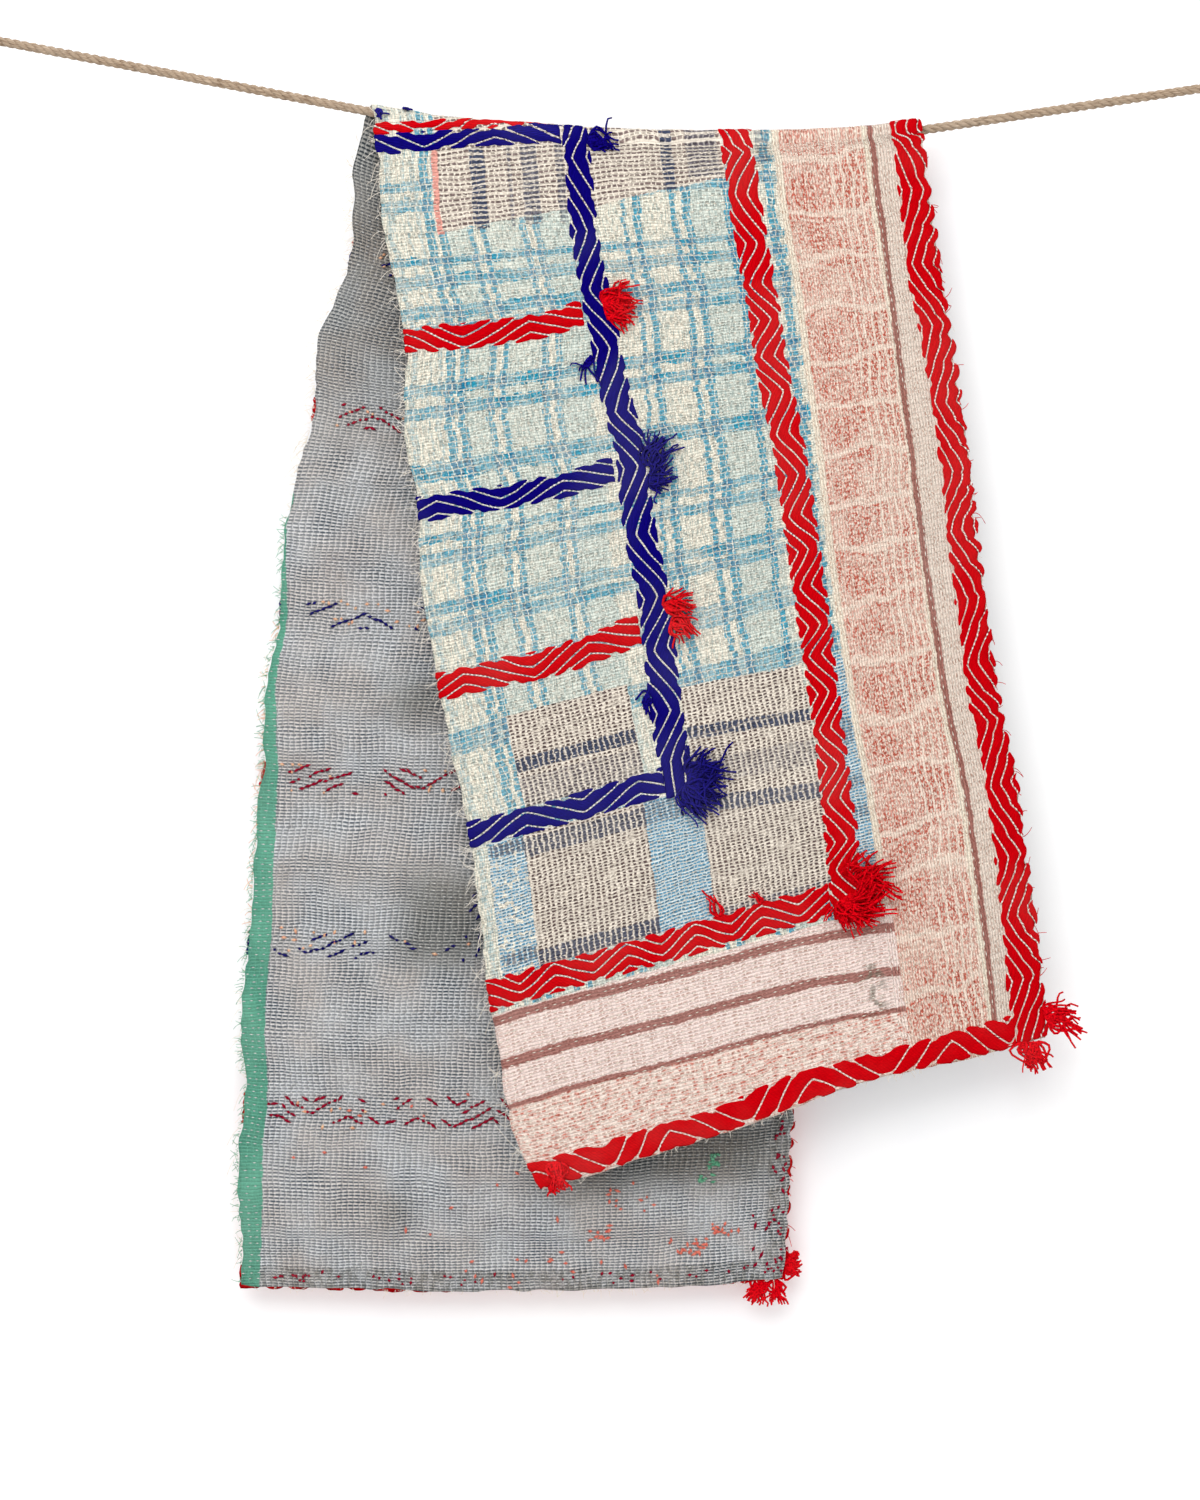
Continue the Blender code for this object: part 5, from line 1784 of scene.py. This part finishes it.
# %% Dashes of wool on the lining
TRACE_LONG, TRACE_WIDE, TRACE_THICK = 0.0064, 0.0033, 0.0026
TRACE_PITCH, TRACE_OFF, TRACE_LIFT = 0.0060, 0.0006, 0.0010
TRACE_GONE = -0.15              # below this the wool was not caught on the lining at all
TRACE_RED = make_wool("trace_red", (158, 20, 48), (112, 8, 36))
TRACE_NAVY = make_wool("trace_navy", (28, 26, 104), (12, 12, 70))
CORAL_THREAD = make_cotton("coral_thread", (232, 132, 110), (206, 96, 84), 0.0)
LOWEST_LINING = 1.135
LEAST_U = 0.027                 # the green strip covers the dashes nearest to the cut edge


def trace_points(band, chance):
    """Dashes along the lines of a band: U, V and the turn of each."""
    for number, spots in line_spots(band, TRACE_PITCH, 0.41, 0.0):
        spots = spots[:, chance.random(spots.shape[1]) < (0.30 if band.upright else 0.90)]
        caught = soft_noise(spots[0], number * 0.13 + spots[3], 0.035, 64) > TRACE_GONE
        along, line, slope, _ = spots[:, caught]
        tilt = np.arctan(slope) + chance.normal(0.0, 0.18, len(along))
        line = line + chance.normal(0.0, TRACE_OFF, len(along))
        yield np.stack(on_cloth(band, along, line, tilt))


def lining_dashes(name, spots, finish, long, seed):
    """Grains on the lining from U, V and a turn."""
    long = long * np.random.default_rng(seed).uniform(0.6, 1.8, spots.shape[1])
    return lay_grains(name, *spots, TRACE_LIFT, long, np.ones_like(long), finish, TRACE_WIDE, TRACE_THICK,
                      lining=True)


TRACE_CHANCE = np.random.default_rng(15)
traces = []
for wool, finish in (("red", TRACE_RED), ("navy", TRACE_NAVY)):
    spots = np.concatenate([found for band in BANDS
                            if band.wool == wool and not band.name.startswith(("red_double", "hem_back"))
                            for found in trace_points(band, TRACE_CHANCE)], axis=1)
    spots = spots[:, (spots[1] > LOWEST_LINING) & (spots[0] > LEAST_U)]
    traces.append(lining_dashes("traces_" + wool, spots, finish, TRACE_LONG, 16))

# %% Darns in other colours
DARNS = (                       # name, thread, length; then across, along, wide, tall in mm, and count
    ("darns_peach", PEACH_THREAD, 0.0042,
     ((120, 1375, 200, 30, 26), (130, 1575, 180, 26, 30), (100, 1742, 160, 28, 14), (60, 1213, 60, 18, 16),
      (120, 1905, 200, 26, 16), (100, 2080, 180, 26, 8))),
    ("darns_coral", CORAL_THREAD, 0.0050,
     ((365, 2196, 22, 16, 14), (455, 2216, 40, 18, 22), (490, 2200, 30, 14, 14), (395, 2160, 50, 30, 12),
      (330, 2235, 200, 40, 18), (200, 2120, 300, 160, 16))),
    ("darns_green", GREEN_THREAD, 0.0040, ((478, 2125, 10, 16, 22), (470, 2145, 18, 10, 10))),
    ("darns_hem", TRACE_RED, 0.0036, ((280, 2246, 520, 12, 46), (544, 2150, 14, 200, 40))),
)


def scatter(darns, chance):
    """Places for the dashes of some darns: U, V and the turn of each."""
    for *sizes, count in darns:
        across, along, wide, tall = (size / 1000 for size in sizes)
        u = np.clip(across + wide * chance.uniform(-0.5, 0.5, count), 0.01, 0.55)
        v = np.clip(along + tall * chance.uniform(-0.5, 0.5, count), 1.14, 2.257)
        level = chance.random(count) < 0.6
        yield np.stack([u, v, np.where(level, 0.0, math.pi / 2) + chance.normal(0.0, 0.3, count)])


for name, finish, long, darns in DARNS:
    spots = np.concatenate(list(scatter(darns, TRACE_CHANCE)), axis=1)
    traces.append(lining_dashes(name, spots, finish, long, 17))

# %% [markdown]
# ## The pegs
#
# The rope ends just outside the view, on two plain iron pegs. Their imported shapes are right, so they
# only get a finish: forged iron with a dark wax coat, worn bright on the head.

# %% Peg material
IRON_DARK, IRON_WORN = colour(44, 42, 42), colour(112, 106, 100)
WORN_FROM, WORN_TO = -0.060, -0.054
BLACK_IRON, iron = new_material("black_iron", 0.5)
iron["Metallic"].default_value = 1.0
at_head = 1.0 - between(parts_of(object_place())[1], WORN_FROM, WORN_TO)
wear = at_head * between(noise(object_place(), 260.0, 3.0), 0.35, 0.60)
dress(iron, blend(wear, IRON_DARK, IRON_WORN), noise(object_place(), 700.0), 0.0004)
wire(iron["Roughness"], 0.62 - wear * 0.26)
for side_name in ("left", "right"):
    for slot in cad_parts["wall_peg_" + side_name].material_slots:
        slot.material = BLACK_IRON

# %% [markdown]
# ## Putting the pieces on the body
#
# Every piece rides on the one body, and the imported solids that the pieces stand for are hidden. All the
# wool and stitches go with the quilt.

# %% Putting the pieces on the body
with_quilt = [red_bands, navy_bands, band_lines, *rows, *traces, red_tufts, navy_tufts, *frays]
SLOTS = {"red_bands": "red_wool", "red_tufts": "red_wool", "navy_bands": "navy_wool",
         "navy_tufts": "navy_wool", "red_fray": "red_wool", "traces_red": "red_wool",
         "traces_navy": "navy_wool", "darns_hem": "red_wool"}
for piece in [quilt] + with_quilt:
    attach(piece, "root")
    SLOTS.get(piece.name, "quilted_cotton")
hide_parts("kantha_cloth")
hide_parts("tuft_red_upper", "tuft_red_lower", "tuft_red_corner", "tassel_front_side",
            "tassel_front_hem", "tassel_front_cut", "tassel_back_side", "tassel_back_hem")
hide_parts("tuft_navy_middle", "tuft_navy_corner", "tuft_navy_fold")
print("Pieces on the cloth:", len(with_quilt))

# %% [markdown]
# ## Wall, floor and light
#
# The cloth hangs close before a white wall, which takes a faint shadow. The wall is a sheet that is
# clear from behind, so the back of the cloth can be looked at too. A pale floor lies well below. The
# light is a large soft panel, high in front and a little to the left, and a bright even room.

# %% Stage
BACKDROP_Y, FLOOR_Z = 0.003, -1.75
WALL_PAINTED_GLOW = 0.07                # painted light: the white wall glows a little, so that it looks over-lit as in a bright studio
WHITE = (1.0, 1.0, 1.0, 1.0)


def stage_sheet(name, finish, corners):
    piece = link(bpy.data.objects.new(name, mesh_of(name, corners, (), [(0, 1, 2, 3)])))
    piece.data.materials.append(finish)
    return piece


PLASTER, plaster = new_material("white_plaster", 0.9)
uneven = between(noise(object_place(), 3.0, 4.0, 0.6), 0.3, 0.7)
dress(plaster, blend(uneven, colour(244, 244, 246), colour(250, 250, 250)),
      noise(object_place(), 40.0, 4.0), 0.0004)
# Painted light: the wall glows a little, though it is no lamp.
plaster["Emission Color"].default_value = WHITE
plaster["Emission Strength"].default_value = WALL_PAINTED_GLOW
seen = node("ShaderNodeMixShader", {0: node("ShaderNodeNewGeometry", take="Backfacing"),
                                    1: Flow(board.nodes["Principled BSDF"].outputs[0]),
                                    2: node("ShaderNodeBsdfTransparent")})
wire(board.nodes["Material Output"].inputs["Surface"], seen)
PALE_FLOOR, floor_shader = new_material("pale_floor", 0.8)
floor_shader["Base Color"].default_value = colour(240, 240, 240)
backdrop = stage_sheet("backdrop", PLASTER, [
    (x, BACKDROP_Y, z) for x, z in ((-2.2, FLOOR_Z), (3.5, FLOOR_Z), (3.5, 1.6), (-2.2, 1.6))])
backdrop.visible_shadow = backdrop.visible_diffuse = False      # so the room also lights the cloth's back
stage_sheet("floor", PALE_FLOOR, [
    (x, y, FLOOR_Z) for x, y in ((-3.5, -4.5), (4.8, -4.5), (4.8, 3.5), (-3.5, 3.5))])
print("Stage: wall at y =", BACKDROP_Y, "and floor at z =", FLOOR_Z)

# %% Light
WORLD_LIGHT = 0.84
KEY_AT, KEY_AIM = Vector((0.1, -2.8, 1.6)), Vector((0.66, 0.0, -0.6))
KEY_SIZE, KEY_POWER = 2.8, 78.0

world = bpy.data.worlds.new("bright_room")
world.use_nodes = True
background = world.node_tree.nodes["Background"].inputs
background["Color"].default_value = WHITE
background["Strength"].default_value = WORLD_LIGHT
bpy.context.scene.world = world
panel = bpy.data.lights.new("soft_panel", "AREA")
panel.size, panel.energy = KEY_SIZE, KEY_POWER
lamp = link(bpy.data.objects.new("soft_panel", panel))
lamp.location = KEY_AT
lamp.rotation_euler = (KEY_AIM - KEY_AT).to_track_quat("-Z", "Y").to_euler()
bpy.context.scene.view_settings.view_transform = "Standard"
print("Light: panel of", KEY_POWER, "W and a room of", WORLD_LIGHT)
